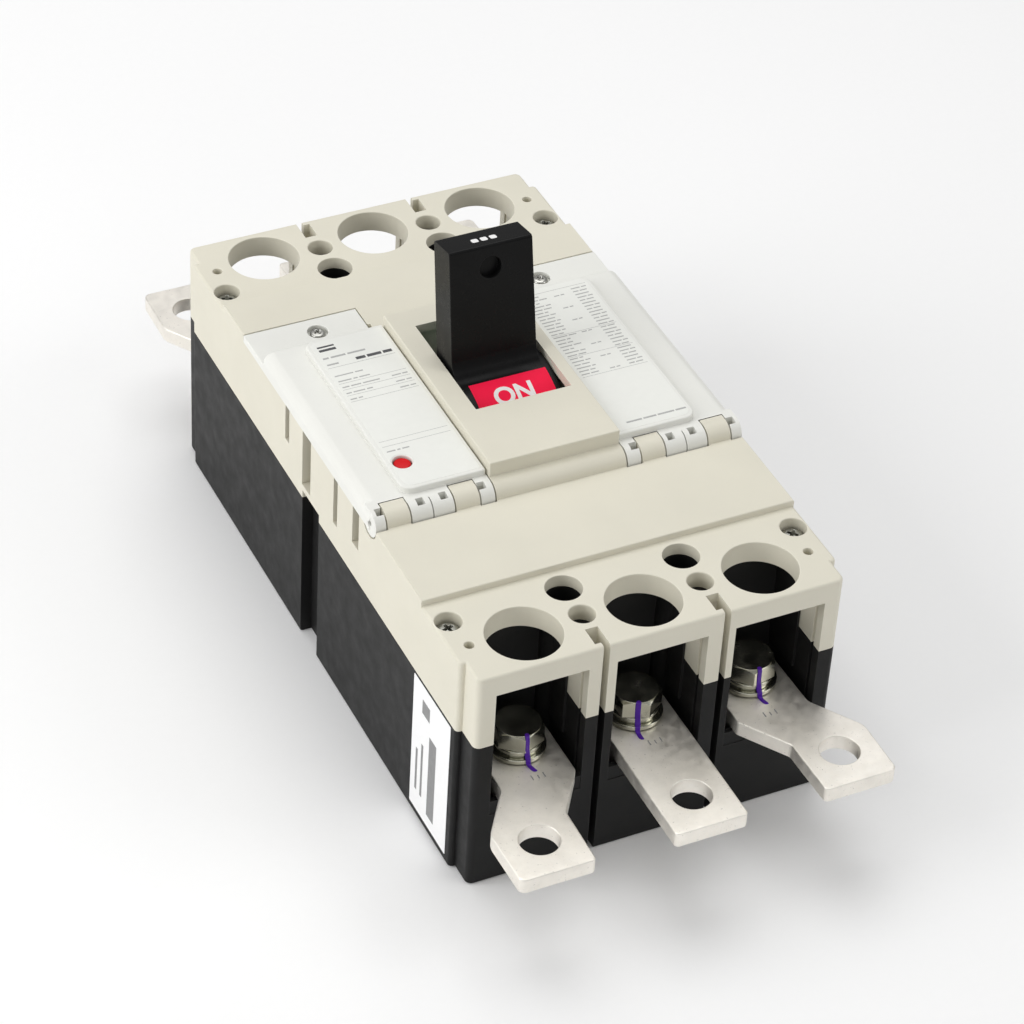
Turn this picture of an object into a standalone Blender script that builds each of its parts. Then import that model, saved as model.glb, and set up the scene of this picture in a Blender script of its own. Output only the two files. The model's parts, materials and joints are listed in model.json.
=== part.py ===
"""Three-pole molded case breaker, 400 A frame, with its mechanism, contacts and terminal bars.

X runs across the poles, +Y points to the line side and +Z out of the front face.
The origin is the centre of the mounting face. Lengths below are in millimetres and
become metres in the shape functions.
"""

import math

import bmesh
import bpy
from mathutils import Matrix, Vector

MM = 0.001
GAP = 0.3

# Housing
POLES = {"left": -44.0, "centre": 0.0, "right": 44.0}
HALF_WIDTH = 70.0
HOOD_HALF_WIDTH = 67.8
HALF_LENGTH = 128.5
SHOULDER_Y = 118.5
PARTING_Z = 63.0
HOOD_TOP = 93.5
PLATEAU_TOP = 96.0
PLATEAU_HALF = 88.0
ESCUTCHEON_TOP = 107.0
ESCUTCHEON_HALF = 24.8
ESCUTCHEON_NEAR = -43.3
ESCUTCHEON_FAR = 47.3
CHAMBER_HALF = 19.25
CHAMBER_END = 92.0
TERMINAL_START = 96.0
TERMINAL_TOP = 85.0
TERMINAL_Y = 112.5
TERMINAL_FLOOR = 31.0
MOUNT_X, MOUNT_Y = 22.0, 97.0
CORNER_SCREW_X, CORNER_SCREW_Y = 64.6, 97.8
RIM_Z = 93.0

# Accessory lids
HINGE_Y, HINGE_Z = -45.0, 96.0
KNUCKLE_R = 5.0
LID_TOP = 101.0
LABEL_TOP = 103.5
LID_INNER = 25.2
LID_SCREW_X, LID_SCREW_Y = 44.4, 60.5
LID_FINGERS = ((25.2, 30.5), (40.3, 56.3), (65.8, 69.9))
COVER_FINGERS = ((30.9, 39.9), (56.7, 65.4))

# Handle
HANDLE_Y, HANDLE_Z = 7.0, 70.0
HANDLE_X = 1.7
HANDLE_TILT = math.radians(11.0)
GRIP_HALF = 15.8
GRIP_FOOT, GRIP_CROWN = 6.4, 6.1
GRIP_TOP = 82.2
FOOT_FILLET = 8.0
SHUTTER_R = 35.0
SHUTTER_HALF = 18.0

# Trip button
BUTTON_X, BUTTON_Y = -50.2, -27.2

# Mechanism, in the plane of Y and Z
CROSSBAR_Y, CROSSBAR_Z = -12.0, 30.0
LINK_TOP = (-6.0, 74.0)
KNEE = (3.0, 53.0)
LINK_FOOT = (-8.0, 42.0)
CRADLE_PIN = (30.0, 62.0)
LATCH_PIN = (-26.0, 44.0)
TRIP_Y, TRIP_Z = -61.0, 76.0
OPEN_ANGLE = math.radians(10.0)

parts = bpy.data.collections.new("molded_case_breaker")
cutters = bpy.data.collections.new("cutters")


# ---------------------------------------------------------------- scene and helpers


def clear_scene():
    for obj in list(bpy.data.objects):
        bpy.data.objects.remove(obj, do_unlink=True)


def material(name, colour, roughness, metallic=0.0):
    made = bpy.data.materials.new(name)
    made.use_nodes = True
    shader = made.node_tree.nodes["Principled BSDF"]
    shader.inputs["Base Color"].default_value = (*colour, 1.0)
    shader.inputs["Roughness"].default_value = roughness
    shader.inputs["Metallic"].default_value = metallic
    return made


def from_bmesh(name, bm, helper=False):
    mesh = bpy.data.meshes.new(name)
    bm.to_mesh(mesh)
    bm.free()
    obj = bpy.data.objects.new(name, mesh)
    if helper:
        cutters.objects.link(obj)
        obj.hide_render = True
        obj.display_type = "WIRE"
    else:
        parts.objects.link(obj)
    return obj


def box(name, low, high, helper=False):
    """An axis-aligned block between two corners."""
    bm = bmesh.new()
    bmesh.ops.create_cube(bm, size=1.0)
    low, high = Vector(low) * MM, Vector(high) * MM
    bmesh.ops.scale(bm, vec=high - low, verts=bm.verts)
    bmesh.ops.translate(bm, vec=(high + low) / 2, verts=bm.verts)
    return from_bmesh(name, bm, helper)


def rod(name, centre, axis, radius, length, sides=24, helper=False, top_radius=None):
    """A cylinder or cone whose middle is at centre, along X, Y or Z."""
    bm = bmesh.new()
    bmesh.ops.create_cone(
        bm,
        cap_ends=True,
        segments=sides,
        radius1=radius * MM,
        radius2=(radius if top_radius is None else top_radius) * MM,
        depth=length * MM,
    )
    turn = {
        "X": Matrix.Rotation(math.pi / 2, 4, "Y"),
        "Y": Matrix.Rotation(-math.pi / 2, 4, "X"),
        "Z": Matrix.Identity(4),
    }[axis]
    bmesh.ops.transform(bm, matrix=turn, verts=bm.verts)
    bmesh.ops.translate(bm, vec=Vector(centre) * MM, verts=bm.verts)
    return from_bmesh(name, bm, helper)


def rounded(points, radii, steps=4):
    """The outline with each corner replaced by an arc of the given radius."""
    out = []
    count = len(points)
    for i, corner in enumerate(points):
        radius = radii[i] if isinstance(radii, (list, tuple)) else radii
        here = Vector(corner)
        if radius <= 0:
            out.append(tuple(here))
            continue
        before = (Vector(points[i - 1]) - here).normalized()
        after = (Vector(points[(i + 1) % count]) - here).normalized()
        half = before.angle(after) / 2
        reach = radius / math.tan(half)
        centre = here + (before + after).normalized() * radius / math.sin(half)
        first = here + before * reach - centre
        last = here + after * reach - centre
        sweep = first.angle_signed(last)
        for k in range(steps + 1):
            arm = first.copy()
            arm.rotate(Matrix.Rotation(-sweep * k / steps, 2))
            out.append(tuple(centre + arm))
    return out


def arc(centre, radius, start, end, steps):
    """Points on a circle, with angles in radians from +Z (or +Y of a plan) clockwise."""
    made = []
    for k in range(steps + 1):
        angle = start + (end - start) * k / steps
        y = centre[0] + radius * math.sin(angle)
        z = centre[1] + radius * math.cos(angle)
        made.append((y, z))
    return made


def plate(name, outline, plane, low, high, helper=False):
    """A flat outline made solid between low and high along the normal of its plane."""
    curve = bpy.data.curves.new(name, "CURVE")
    curve.dimensions = "2D"
    curve.fill_mode = "BOTH"
    curve.extrude = (high - low) / 2 * MM
    spline = curve.splines.new("POLY")
    spline.points.add(len(outline) - 1)
    for point, (a, b) in zip(spline.points, outline):
        point.co = (a * MM, b * MM, 0.0, 1.0)
    spline.use_cyclic_u = True
    guide = bpy.data.objects.new(name + "_outline", curve)
    bpy.context.scene.collection.objects.link(guide)
    middle = (high + low) / 2 * MM
    if plane == "YZ":
        turn = Matrix(((0, 0, 1), (1, 0, 0), (0, 1, 0))).to_4x4()
        guide.matrix_world = Matrix.Translation((middle, 0, 0)) @ turn
    else:
        guide.matrix_world = Matrix.Translation((0, 0, middle))
    return baked(guide, name, helper)


def baked(guide, name, helper=False):
    """The curve object as a welded mesh object; the curve is removed."""
    bpy.context.view_layer.update()
    graph = bpy.context.evaluated_depsgraph_get()
    mesh = bpy.data.meshes.new_from_object(guide.evaluated_get(graph))
    bm = bmesh.new()
    bm.from_mesh(mesh)
    bmesh.ops.remove_doubles(bm, verts=bm.verts, dist=1e-6)
    bmesh.ops.transform(bm, matrix=guide.matrix_world, verts=bm.verts)
    bmesh.ops.recalc_face_normals(bm, faces=bm.faces)
    bpy.data.objects.remove(guide, do_unlink=True)
    return from_bmesh(name, bm, helper)


def wire(name, points, radius, bevel_resolution=1):
    """A round wire along a polyline."""
    curve = bpy.data.curves.new(name, "CURVE")
    curve.dimensions = "3D"
    curve.bevel_depth = radius * MM
    curve.bevel_resolution = bevel_resolution
    curve.use_fill_caps = True
    spline = curve.splines.new("POLY")
    spline.points.add(len(points) - 1)
    for point, where in zip(spline.points, points):
        point.co = (*(Vector(where) * MM), 1.0)
    guide = bpy.data.objects.new(name + "_path", curve)
    bpy.context.scene.collection.objects.link(guide)
    return baked(guide, name)


def strap(path, thickness):
    """The outline of a bent strip of constant thickness about a centre path."""
    sides = ([], [])
    for i, here in enumerate(path):
        here = Vector(here)
        ahead = (Vector(path[min(i + 1, len(path) - 1)]) - here).normalized()
        behind = (here - Vector(path[max(i - 1, 0)])).normalized()
        if ahead.length == 0:
            ahead = behind
        if behind.length == 0:
            behind = ahead
        normal = Vector((-(ahead + behind).y, (ahead + behind).x)).normalized()
        share = max(normal.dot(Vector((-ahead.y, ahead.x))), 0.4)
        sides[0].append(tuple(here + normal * thickness / 2 / share))
        sides[1].append(tuple(here - normal * thickness / 2 / share))
    return sides[0] + sides[1][::-1]


def group_of(name, shapes):
    group = bpy.data.collections.new(name)
    for shape in shapes:
        group.objects.link(shape)
        cutters.objects.unlink(shape)
    cutters.children.link(group)
    group.hide_render = True
    return group


def carve(obj, operation, shapes):
    """One Boolean of the object with a whole group of helper shapes."""
    label = f"{obj.name}_{operation.lower()}_{len(obj.modifiers)}"
    modifier = obj.modifiers.new(label, "BOOLEAN")
    modifier.operation = operation
    modifier.solver = "EXACT"
    if len(shapes) == 1:
        modifier.object = shapes[0]
        return
    modifier.operand_type = "COLLECTION"
    modifier.collection = group_of(label, shapes)


def cut(obj, *shapes):
    carve(obj, "DIFFERENCE", list(shapes))


def join(obj, *shapes):
    """A union with each shape in turn, so the result is one body."""
    for shape in shapes:
        carve(obj, "UNION", [shape])


def pivot_at(obj, y, z, angle=0.0, x=0.0):
    """Moves the origin onto an axis along X, then turns the object about it."""
    centre = Vector((x, y, z)) * MM
    for shape in [obj, *helpers_of(obj)]:
        shape.data.transform(Matrix.Translation(-centre))
        shape.location = centre
        shape.rotation_euler = (angle, 0.0, 0.0)


def helpers_of(obj):
    found = []
    for modifier in obj.modifiers:
        if modifier.type != "BOOLEAN":
            continue
        if modifier.operand_type == "OBJECT":
            found.append(modifier.object)
        else:
            found.extend(modifier.collection.objects)
    return found


def finish(obj, look, smooth=False):
    obj.data.materials.append(look)
    if smooth:
        obj.data.shade_smooth()
        obj.data.set_sharp_from_angle(angle=math.radians(35))
    return obj


def both(function):
    """Calls function with -1 and +1 and joins the lists it returns."""
    return [shape for side in (-1, 1) for shape in function(side)]


# ---------------------------------------------------------------- housing


def terminal_cuts(label, z_low, z_high):
    """Open terminal compartments and the slots between them, at both ends."""
    made = []
    for end in (-1, 1):
        span = sorted((end * TERMINAL_START, end * (HALF_LENGTH + 4)))
        for low, high in ((-61.0, -27.2), (-16.9, 16.9), (27.2, 61.0)):
            name = f"{label}_terminal_{end}_{low}"
            made.append(box(name, (low, span[0], z_low), (high, span[1], z_high), True))
    return made


def mouth_sills():
    """Low walls across the mouths of the terminal compartments, just under the bars."""
    sills = []
    for x in POLES.values():
        for end in (-1, 1):
            span = sorted((end * 126.5, end * 128.2))
            low, high = (x - 17.6, span[0], TERMINAL_FLOOR - 1), (x + 17.6, span[1], 36.7)
            sills.append(box(f"base_sill_{x}_{end}", low, high, True))
    return sills


def slot_cuts(label, z_low, z_high):
    made = []
    for end in (-1, 1):
        span = sorted((end * SHOULDER_Y, end * (HALF_LENGTH + 4)))
        for low, high in ((-24.7, -20.2), (20.2, 24.7)):
            name = f"{label}_slot_{end}_{low}"
            made.append(box(name, (low, span[0], z_low), (high, span[1], z_high), True))
    return made


def chamber_cuts(label, z_low, z_high, y_low=-CHAMBER_END, y_high=CHAMBER_END):
    made = []
    for pole, x in POLES.items():
        name = f"{label}_chamber_{pole}"
        low = (x - CHAMBER_HALF, y_low, z_low)
        high = (x + CHAMBER_HALF, y_high, z_high)
        made.append(box(name, low, high, True))
    return made


def corner_points(x, y):
    return [(sx * x, sy * y) for sx in (-1, 1) for sy in (-1, 1)]


def make_base(look):
    top = PARTING_Z - GAP / 2
    base = box("base", (-HALF_WIDTH, -SHOULDER_Y, 0), (HALF_WIDTH, SHOULDER_Y, top))
    ends = (HOOD_HALF_WIDTH, HALF_LENGTH)
    join(base, box("base_ends", (-ends[0], -ends[1], 0), (ends[0], ends[1], top), True))
    shapes = terminal_cuts("base", TERMINAL_FLOOR, 80)
    shapes += chamber_cuts("base", 6, 81)
    for x in POLES.values():
        for end in (-1, 1):
            span = sorted((end * 90.0, end * 98.0))
            low, high = (x - 14.2, span[0], 20), (x + 14.2, span[1], 39)
            shapes.append(box(f"base_window_{x}_{end}", low, high, True))
            where = (x, end * TERMINAL_Y, 24)
            shapes.append(rod(f"base_nut_well_{x}_{end}", where, "Z", 5.6, 24, 12, True))
    cut(base, *shapes)
    join(base, *mouth_sills())
    towers = []
    for x, y in corner_points(MOUNT_X, MOUNT_Y):
        towers.append(rod(f"base_tower_{x}_{y}", (x, y, 31.2), "Z", 7.9, top - 0.6, 16, True))
    join(base, *towers)
    shapes = slot_cuts("base", -5, 85)
    for x, y in corner_points(MOUNT_X, MOUNT_Y):
        shapes.append(rod(f"base_mount_{x}_{y}", (x, y, 20), "Z", 3.4, 60, 12, True))
        shapes.append(rod(f"base_mount_top_{x}_{y}", (x, y, 42), "Z", 6.65, 60, 20, True))
    for x, y in corner_points(CORNER_SCREW_X, CORNER_SCREW_Y):
        shapes.append(rod(f"base_screw_{x}_{y}", (x, y, 55), "Z", 2.4, 40, 8, True))
    for side in (-1, 1):
        span = sorted((side * 65.6, side * 75))
        shapes.append(box(f"base_channel_{side}", (span[0], -2.4, -5), (span[1], 12.6, 75), True))
    shapes += crossbar_slots("base", 20)
    for x in POLES.values():
        low, high = (x - 15, -80, -3), (x + 15, 80, 1.5)
        shapes.append(box(f"base_relief_{x}", low, high, True))
    cut(base, *shapes)
    return finish(base, look)


def crossbar_slots(label, z_low):
    made = []
    for x in (-22, 22):
        low, high = (x - 6, CROSSBAR_Y - 8.2, z_low), (x + 6, CROSSBAR_Y + 8.2, 90)
        made.append(box(f"{label}_shaft_slot_{x}", low, high, True))
    return made


def knuckle(label, low, high):
    """A hinge barrel that rounds down to the plateau, joined to the cover below it."""
    outline = [(-50.0, 88.0)]
    outline += arc((HINGE_Y, HINGE_Z), KNUCKLE_R, -math.pi / 2, 0, 6)
    outline += [(-42.2, LID_TOP), (-42.2, 88.0)]
    return plate(label, outline, "YZ", low, high, True)


def pocket_shapes(side):
    """Accessory pocket under one lid, with the lid's seat and the wire slots in the side wall."""
    shapes = []

    def add(name, x, y, z):
        xs = sorted((side * x[0], side * x[1]))
        shapes.append(box(f"cover_{name}_{side}", (xs[0], y[0], z[0]), (xs[1], y[1], z[1]), True))

    add("seat", (24.95, 75), (HINGE_Y, 57.6), (RIM_Z, 120))
    add("strip_seat", (25.8, 75), (50, 68.6), (RIM_Z, 120))
    add("pocket", (30, 62), (-34, 52), (72, 120))
    add("wire_slot_a", (60, 75), (25.3, 28.9), (78, 95))
    add("wire_slot_b", (60, 75), (5.7, 13.2), (69, 95))
    add("wire_slot_c", (60, 75), (-18.0, -14.5), (73, 95))
    add("wire_slot_d", (60, 75), (-36.5, -31.0), (77, 95))
    return shapes


def make_cover(look):
    low = PARTING_Z + GAP / 2
    size = (HALF_WIDTH, SHOULDER_Y)
    cover = box("cover", (-size[0], -size[1], low), (size[0], size[1], HOOD_TOP))
    x, y = HOOD_HALF_WIDTH, HALF_LENGTH
    join(cover, box("cover_ends", (-x, -y, low), (x, y, HOOD_TOP), True))
    x, y = HALF_WIDTH, PLATEAU_HALF
    join(cover, box("cover_plateau", (-x, -y, 80), (x, y, PLATEAU_TOP), True))
    shapes = both(pocket_shapes)
    shapes += terminal_cuts("cover", 50, TERMINAL_TOP)
    shapes += chamber_cuts("cover", 50, 69)
    shapes += chamber_cuts("cover_trip", 50, 88, -CHAMBER_END, -52)
    cut(cover, *shapes)
    x = ESCUTCHEON_HALF
    raised = box("cover_raised", (-x, ESCUTCHEON_NEAR, 80), (x, ESCUTCHEON_FAR, ESCUTCHEON_TOP), True)
    join(cover, raised, knuckle("cover_shelf", -x, x))
    for side in (-1, 1):
        for start, end in COVER_FINGERS:
            span = sorted((side * start, side * end))
            join(cover, knuckle(f"cover_knuckle_{span[0]}", *span))
        xs = sorted((side * 24.0, side * 26.1))
        join(cover, box(f"cover_tab_{side}", (xs[0], 58, 85), (xs[1], 70, PLATEAU_TOP), True))
    for x, y in corner_points(MOUNT_X, MOUNT_Y):
        join(cover, rod(f"cover_tower_{x}_{y}", (x, y, 77.5), "Z", 7.9, 28, 16, True))
    cut(cover, *cover_openings(), *hinge_pockets())
    return finish(cover, look)


def cover_openings():
    """Holes, slots and the handle opening, cut after everything is joined."""
    shapes = slot_cuts("cover", 50, 120)
    for pole, x in POLES.items():
        for end in (-1, 1):
            where = (x, end * TERMINAL_Y, 95)
            shapes.append(rod(f"cover_access_{pole}_{end}", where, "Z", 13.5, 40, 32, True))
    for x, y in corner_points(MOUNT_X, MOUNT_Y):
        shapes.append(rod(f"cover_mount_{x}_{y}", (x, y, 80), "Z", 6.65, 80, 20, True))
    for x, y in corner_points(MOUNT_X, 111.0):
        shapes.append(rod(f"cover_dimple_{x}_{y}", (x, y, 96.5), "Z", 5.15, 20, 16, True))
    for x, y in corner_points(63.1, 111.0):
        shapes.append(rod(f"cover_pinhole_{x}_{y}", (x, y, 97), "Z", 1.75, 20, 8, True))
    for x, y in corner_points(CORNER_SCREW_X, CORNER_SCREW_Y):
        shapes.append(rod(f"cover_screw_{x}_{y}", (x, y, 70), "Z", 2.4, 40, 8, True))
        shapes.append(rod(f"cover_screw_head_{x}_{y}", (x, y, 96.9), "Z", 4.7, 20, 16, True))
    for side in (-1, 1):
        span = sorted((side * 65.6, side * 75))
        shapes.append(box(f"cover_channel_{side}", (span[0], -2.4, 50), (span[1], 12.6, 66.5), True))
        where = (side * LID_SCREW_X, LID_SCREW_Y, 90)
        shapes.append(rod(f"cover_lid_screw_{side}", where, "Z", 2.2, 20, 10, True))
    shapes.append(box("cover_handle_well", (-19.6, -31, 50), (22.2, 44, 103.4), True))
    x = (HANDLE_X - SHUTTER_HALF - 0.4, HANDLE_X + SHUTTER_HALF + 0.4)
    shapes.append(box("cover_handle_opening", (x[0], -14.4, 95), (x[1], 37.3, 120), True))
    low, high = (-40, TRIP_Y - 6, 50), (40, TRIP_Y + 6, TRIP_Z + 6)
    shapes.append(box("cover_trip_slot", low, high, True))
    where = (BUTTON_X, BUTTON_Y, 70)
    shapes.append(rod("cover_button_guide", where, "Z", 1.8, 20, 16, True))
    return shapes


def hinge_pockets():
    """Round clearances for the lid knuckles and the bores for the pins."""
    shapes = []
    for side in (-1, 1):
        where = (side * 47.5, HINGE_Y, HINGE_Z)
        shapes.append(rod(f"cover_pin_bore_{side}", where, "X", 1.07, 45.4, 16, True))
        for start, end in LID_FINGERS:
            stop = end + 0.3 if end < 69 else 72.0
            begin = start - 0.3
            where = (side * (begin + stop) / 2, HINGE_Y, HINGE_Z)
            name = f"cover_finger_pocket_{side}_{start}"
            shapes.append(rod(name, where, "X", 5.35, stop - begin, 20, True))
    return shapes


def make_lid(side, look):
    name = "lid_left" if side < 0 else "lid_right"

    def span(a, b):
        return sorted((side * a, side * b))

    def block(label, x, y, z):
        xs = span(*x)
        return box(f"{name}_{label}", (xs[0], y[0], z[0]), (xs[1], y[1], z[1]), True)

    xs = span(LID_INNER, 70.2)
    floor = RIM_Z + GAP
    lid = box(name, (xs[0], HINGE_Y, floor), (xs[1], 50, LID_TOP))
    join(lid, block("strip", (26.4, 70.2), (48, 68.2), (floor, PLATEAU_TOP)))
    corners = [(25.4, -41.6), (56.0, -41.6), (56.0, 47.0), (25.4, 47.0)]
    outline = rounded([(side * x, y) for x, y in corners], [0, 4.0, 4.0, 0], 5)
    join(lid, plate(f"{name}_label_plate", outline, "XY", 98.0, LABEL_TOP, True))
    shapes = [
        block("hollow", (28.5, 66.5), (-36.5, 45.5), (80, 99)),
        block("label_hollow", (28.5, 53.5), (-36.5, 44.5), (80, 101.6)),
    ]
    for start, end in COVER_FINGERS:
        middle, length = side * (start + end) / 2, end - start + 0.8
        where = (middle, HINGE_Y, HINGE_Z)
        shapes.append(rod(f"{name}_notch_{start}", where, "X", 5.95, length, 20, True))
        shapes.append(block(f"notch_box_{start}", (start - 0.4, end + 0.4), (-60, -41.85), (80, 110)))
    cut(lid, *shapes)
    for start, end in LID_FINGERS:
        where = (side * (start + end) / 2, HINGE_Y, HINGE_Z)
        finger = rod(f"{name}_finger_{start}", where, "X", 5.0, end - start, 24, True)
        join(lid, finger)
    shapes = [rod(f"{name}_pin_bore", (side * 47.5, HINGE_Y, HINGE_Z), "X", 1.07, 60, 16, True)]
    where = (side * LID_SCREW_X, LID_SCREW_Y)
    shapes.append(rod(f"{name}_screw_recess", (*where, 96.6), "Z", 3.7, 5, 16, True))
    shapes.append(rod(f"{name}_screw_hole", (*where, 94), "Z", 1.7, 12, 12, True))
    for x in (29.0, 43.3, 51.8, 67.0):
        shapes.append(block(f"core_{x}", (x - 1.1, x + 1.1), (-46.9, -44.7), (98.8, 110)))
    if side < 0:
        where = (BUTTON_X, BUTTON_Y, 100)
        shapes.append(rod(f"{name}_button_hole", where, "Z", 3.6, 20, 24, True))
    cut(lid, *shapes)
    pivot_at(lid, HINGE_Y, HINGE_Z)
    return finish(lid, look)


# ---------------------------------------------------------------- fasteners and small pieces


def make_hinge_pin(side, look):
    name = "hinge_pin_left" if side < 0 else "hinge_pin_right"
    pin = rod(name, (side * 47.6, HINGE_Y, HINGE_Z), "X", 1.0, 43.6, 16)
    return finish(pin, look, True)


def cross_recess(label, x, y, top, reach):
    wide = reach * 0.28
    return [
        box(f"{label}_slot_x", (x - reach, y - wide, top - 1.1), (x + reach, y + wide, top + 2), True),
        box(f"{label}_slot_y", (x - wide, y - reach, top - 1.1), (x + wide, y + reach, top + 2), True),
    ]


def make_screw(name, x, y, head, shank, look):
    """A pan-head screw: head is (radius, underside, top), shank is (radius, tip)."""
    radius, under, top = head
    middle = (under + top) / 2
    screw = rod(name, (x, y, middle), "Z", radius, top - under, 16, top_radius=radius * 0.82)
    length = under - shank[1] + 0.6
    body = rod(name + "_shank", (x, y, shank[1] + length / 2), "Z", shank[0], length, 8, True)
    join(screw, body)
    cut(screw, *cross_recess(name, x, y, top, radius * 0.6))
    return finish(screw, look, True)


def make_button(look):
    head = rod("trip_button", (BUTTON_X, BUTTON_Y, 97.4), "Z", 3.1, 10.8, 24)
    stem = rod("trip_button_stem", (BUTTON_X, BUTTON_Y, 78.6), "Z", 1.6, 28, 12, True)
    join(head, stem)
    return finish(head, look, True)


def helix(x, y, z_low, z_high, radius, turns, per_turn):
    points = []
    for k in range(turns * per_turn + 1):
        angle = 2 * math.pi * k / per_turn
        z = z_low + (z_high - z_low) * k / (turns * per_turn)
        points.append((x + radius * math.cos(angle), y + radius * math.sin(angle), z))
    return points


def make_button_spring(look):
    points = helix(BUTTON_X, BUTTON_Y, 72.9, 91.1, 2.6, 5, 8)
    return finish(wire("trip_button_spring", points, 0.35, 0), look, True)


def make_terminal_bar(name, x, end, look):
    """Extension bar; the outer poles' bars are jogged away from the centre."""
    if x == 0:
        points = [(-13.5, 99), (-13.5, 171.4), (13.5, 171.4), (13.5, 99)]
        radii = [0.8, 1.6, 1.6, 0.8]
        hole_x = 0.0
    else:
        side = 1 if x > 0 else -1
        points = [
            (30.6, 99), (30.6, 130.6), (42.3, 147.6), (42.7, 171.4),
            (70.0, 171.4), (70.3, 148.0), (58.2, 130.2), (57.6, 99),
        ]
        radii = [0.8, 3, 3, 1.6, 2.5, 7, 4, 0.8]
        points = [(side * px, py) for px, py in points]
        hole_x = side * 56.2
    outline = [(px, end * py) for px, py in rounded(points, radii, 2)]
    bar = plate(name, outline, "XY", 37.0, 43.0)
    cut(
        bar,
        rod(name + "_bolt_hole", (x, end * TERMINAL_Y, 40), "Z", 5.5, 20, 12, True),
        rod(name + "_cable_hole", (hole_x, end * 156.0, 40), "Z", 7.0, 20, 20, True),
    )
    return finish(bar, look)


def make_terminal_bolt(name, x, y, look):
    """Hex bolt with its captive spring and flat washers."""
    bolt = rod(name, (x, y, 51.0), "Z", 9.8, 6.6, 6)
    join(
        bolt,
        rod(name + "_spring_washer", (x, y, 46.4), "Z", 8.6, 3.2, 18, True),
        rod(name + "_flat_washer", (x, y, 44.2), "Z", 10.3, 1.8, 18, True),
        rod(name + "_shank", (x, y, 33.0), "Z", 4.9, 23, 12, True),
    )
    return finish(bolt, look)


# ---------------------------------------------------------------- handle and mechanism


def grip_outline():
    """Side view of the grip, with fillets that run out on the round shutter."""
    reach = GRIP_FOOT + FOOT_FILLET
    start = math.sqrt((SHUTTER_R + FOOT_FILLET) ** 2 - reach**2)
    sweep = math.atan2(start, reach)
    half = [(GRIP_CROWN - 1.0, GRIP_TOP), (GRIP_CROWN, GRIP_TOP - 1.0)]
    for k in range(5):
        angle = sweep * k / 4
        half.append((reach - FOOT_FILLET * math.cos(angle), start - FOOT_FILLET * math.sin(angle) - 0.06))
    half.append((reach - FOOT_FILLET * math.cos(sweep) - 1.0, SHUTTER_R - 2.3))
    sides = half + [(-y, z) for y, z in half[::-1]]
    return [(HANDLE_Y + y, HANDLE_Z + z) for y, z in sides]


def make_handle(look):
    """Grip, curved shutter and root block, drawn upright about the pivot, then tilted."""
    centre = (HANDLE_Y, HANDLE_Z)
    low, high = math.radians(-65), math.radians(66)
    outline = arc(centre, SHUTTER_R, low, high, 26)
    outline += arc(centre, SHUTTER_R - 2.5, high, low, 26)
    x = (HANDLE_X - SHUTTER_HALF, HANDLE_X + SHUTTER_HALF)
    handle = plate("handle", outline, "YZ", *x)
    x = (HANDLE_X - GRIP_HALF, HANDLE_X + GRIP_HALF)
    join(handle, plate("handle_grip", grip_outline(), "YZ", *x, True))
    root = ((-11.8, HANDLE_Y - 6, HANDLE_Z + 23), (11.8, HANDLE_Y + 6, HANDLE_Z + 34))
    join(handle, box("handle_root", *root, True))
    where = (HANDLE_X - 0.8, HANDLE_Y - 6, HANDLE_Z + 73.4)
    cut(handle, rod("handle_dimple", where, "Y", 4.1, 7, 20, True))
    pivot_at(handle, HANDLE_Y, HANDLE_Z, -HANDLE_TILT)
    return finish(handle, look, True)


def make_handle_arm(look):
    """U yoke: two legs on the pivot and a bridge under the handle's root."""
    y, z = HANDLE_Y, HANDLE_Z
    leg = [(y - 4.5, z), (y - 4.5, z + 22.6), (y + 4.5, z + 22.6), (y + 4.5, z)]
    leg += arc((y, z), 4.5, math.pi / 2, 3 * math.pi / 2, 6)[1:-1]
    arm = plate("handle_arm", leg, "YZ", -14.4, -12.6)
    join(
        arm,
        plate("handle_arm_leg", leg, "YZ", 12.6, 14.4, True),
        box("handle_arm_bridge", (-13.5, y - 4, z + 20.6), (13.5, y + 4, z + 22.4), True),
        rod("handle_arm_boss_left", (-15.6, y, z), "X", 2.5, 4, 16, True),
        rod("handle_arm_boss_right", (15.6, y, z), "X", 2.5, 4, 16, True),
    )
    pivot_at(arm, y, z, -HANDLE_TILT)
    return finish(arm, look, True)


def make_side_plate(side, look):
    name = "mechanism_plate_left" if side < 0 else "mechanism_plate_right"
    outline = [
        (-27, 6.4), (38, 6.4), (38, 44), (26, 62), (24, 78), (14, 84),
        (-2, 84), (-14, 78), (-16, 66), (-27, 52),
    ]
    span = sorted((side * 15.0, side * 16.8))
    wall = plate(name, outline, "YZ", *span)
    slot = (CROSSBAR_Y - 8.2, CROSSBAR_Y + 8.2)
    lows, highs = (span[0] - 2, slot[0], 21.8), (span[1] + 2, slot[1], 38.2)
    cut(
        wall,
        rod(name + "_pivot", (side * 16, HANDLE_Y, HANDLE_Z), "X", 2.58, 8, 24, True),
        box(name + "_shaft_slot", lows, highs, True),
        rod(name + "_stop", (side * 16, 30, 30), "X", 2.4, 8, 12, True),
    )
    return finish(wall, look)


def link_outline(a, b, radius):
    """A stadium around two pins."""
    a, b = Vector(a), Vector(b)
    along = (b - a).normalized()
    heading = math.atan2(along.x, along.y)
    quarter = math.pi / 2
    outline = arc(tuple(a), radius, heading + quarter, heading + 3 * quarter, 6)
    outline += arc(tuple(b), radius, heading + 3 * quarter, heading + 5 * quarter, 6)
    return outline


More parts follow.
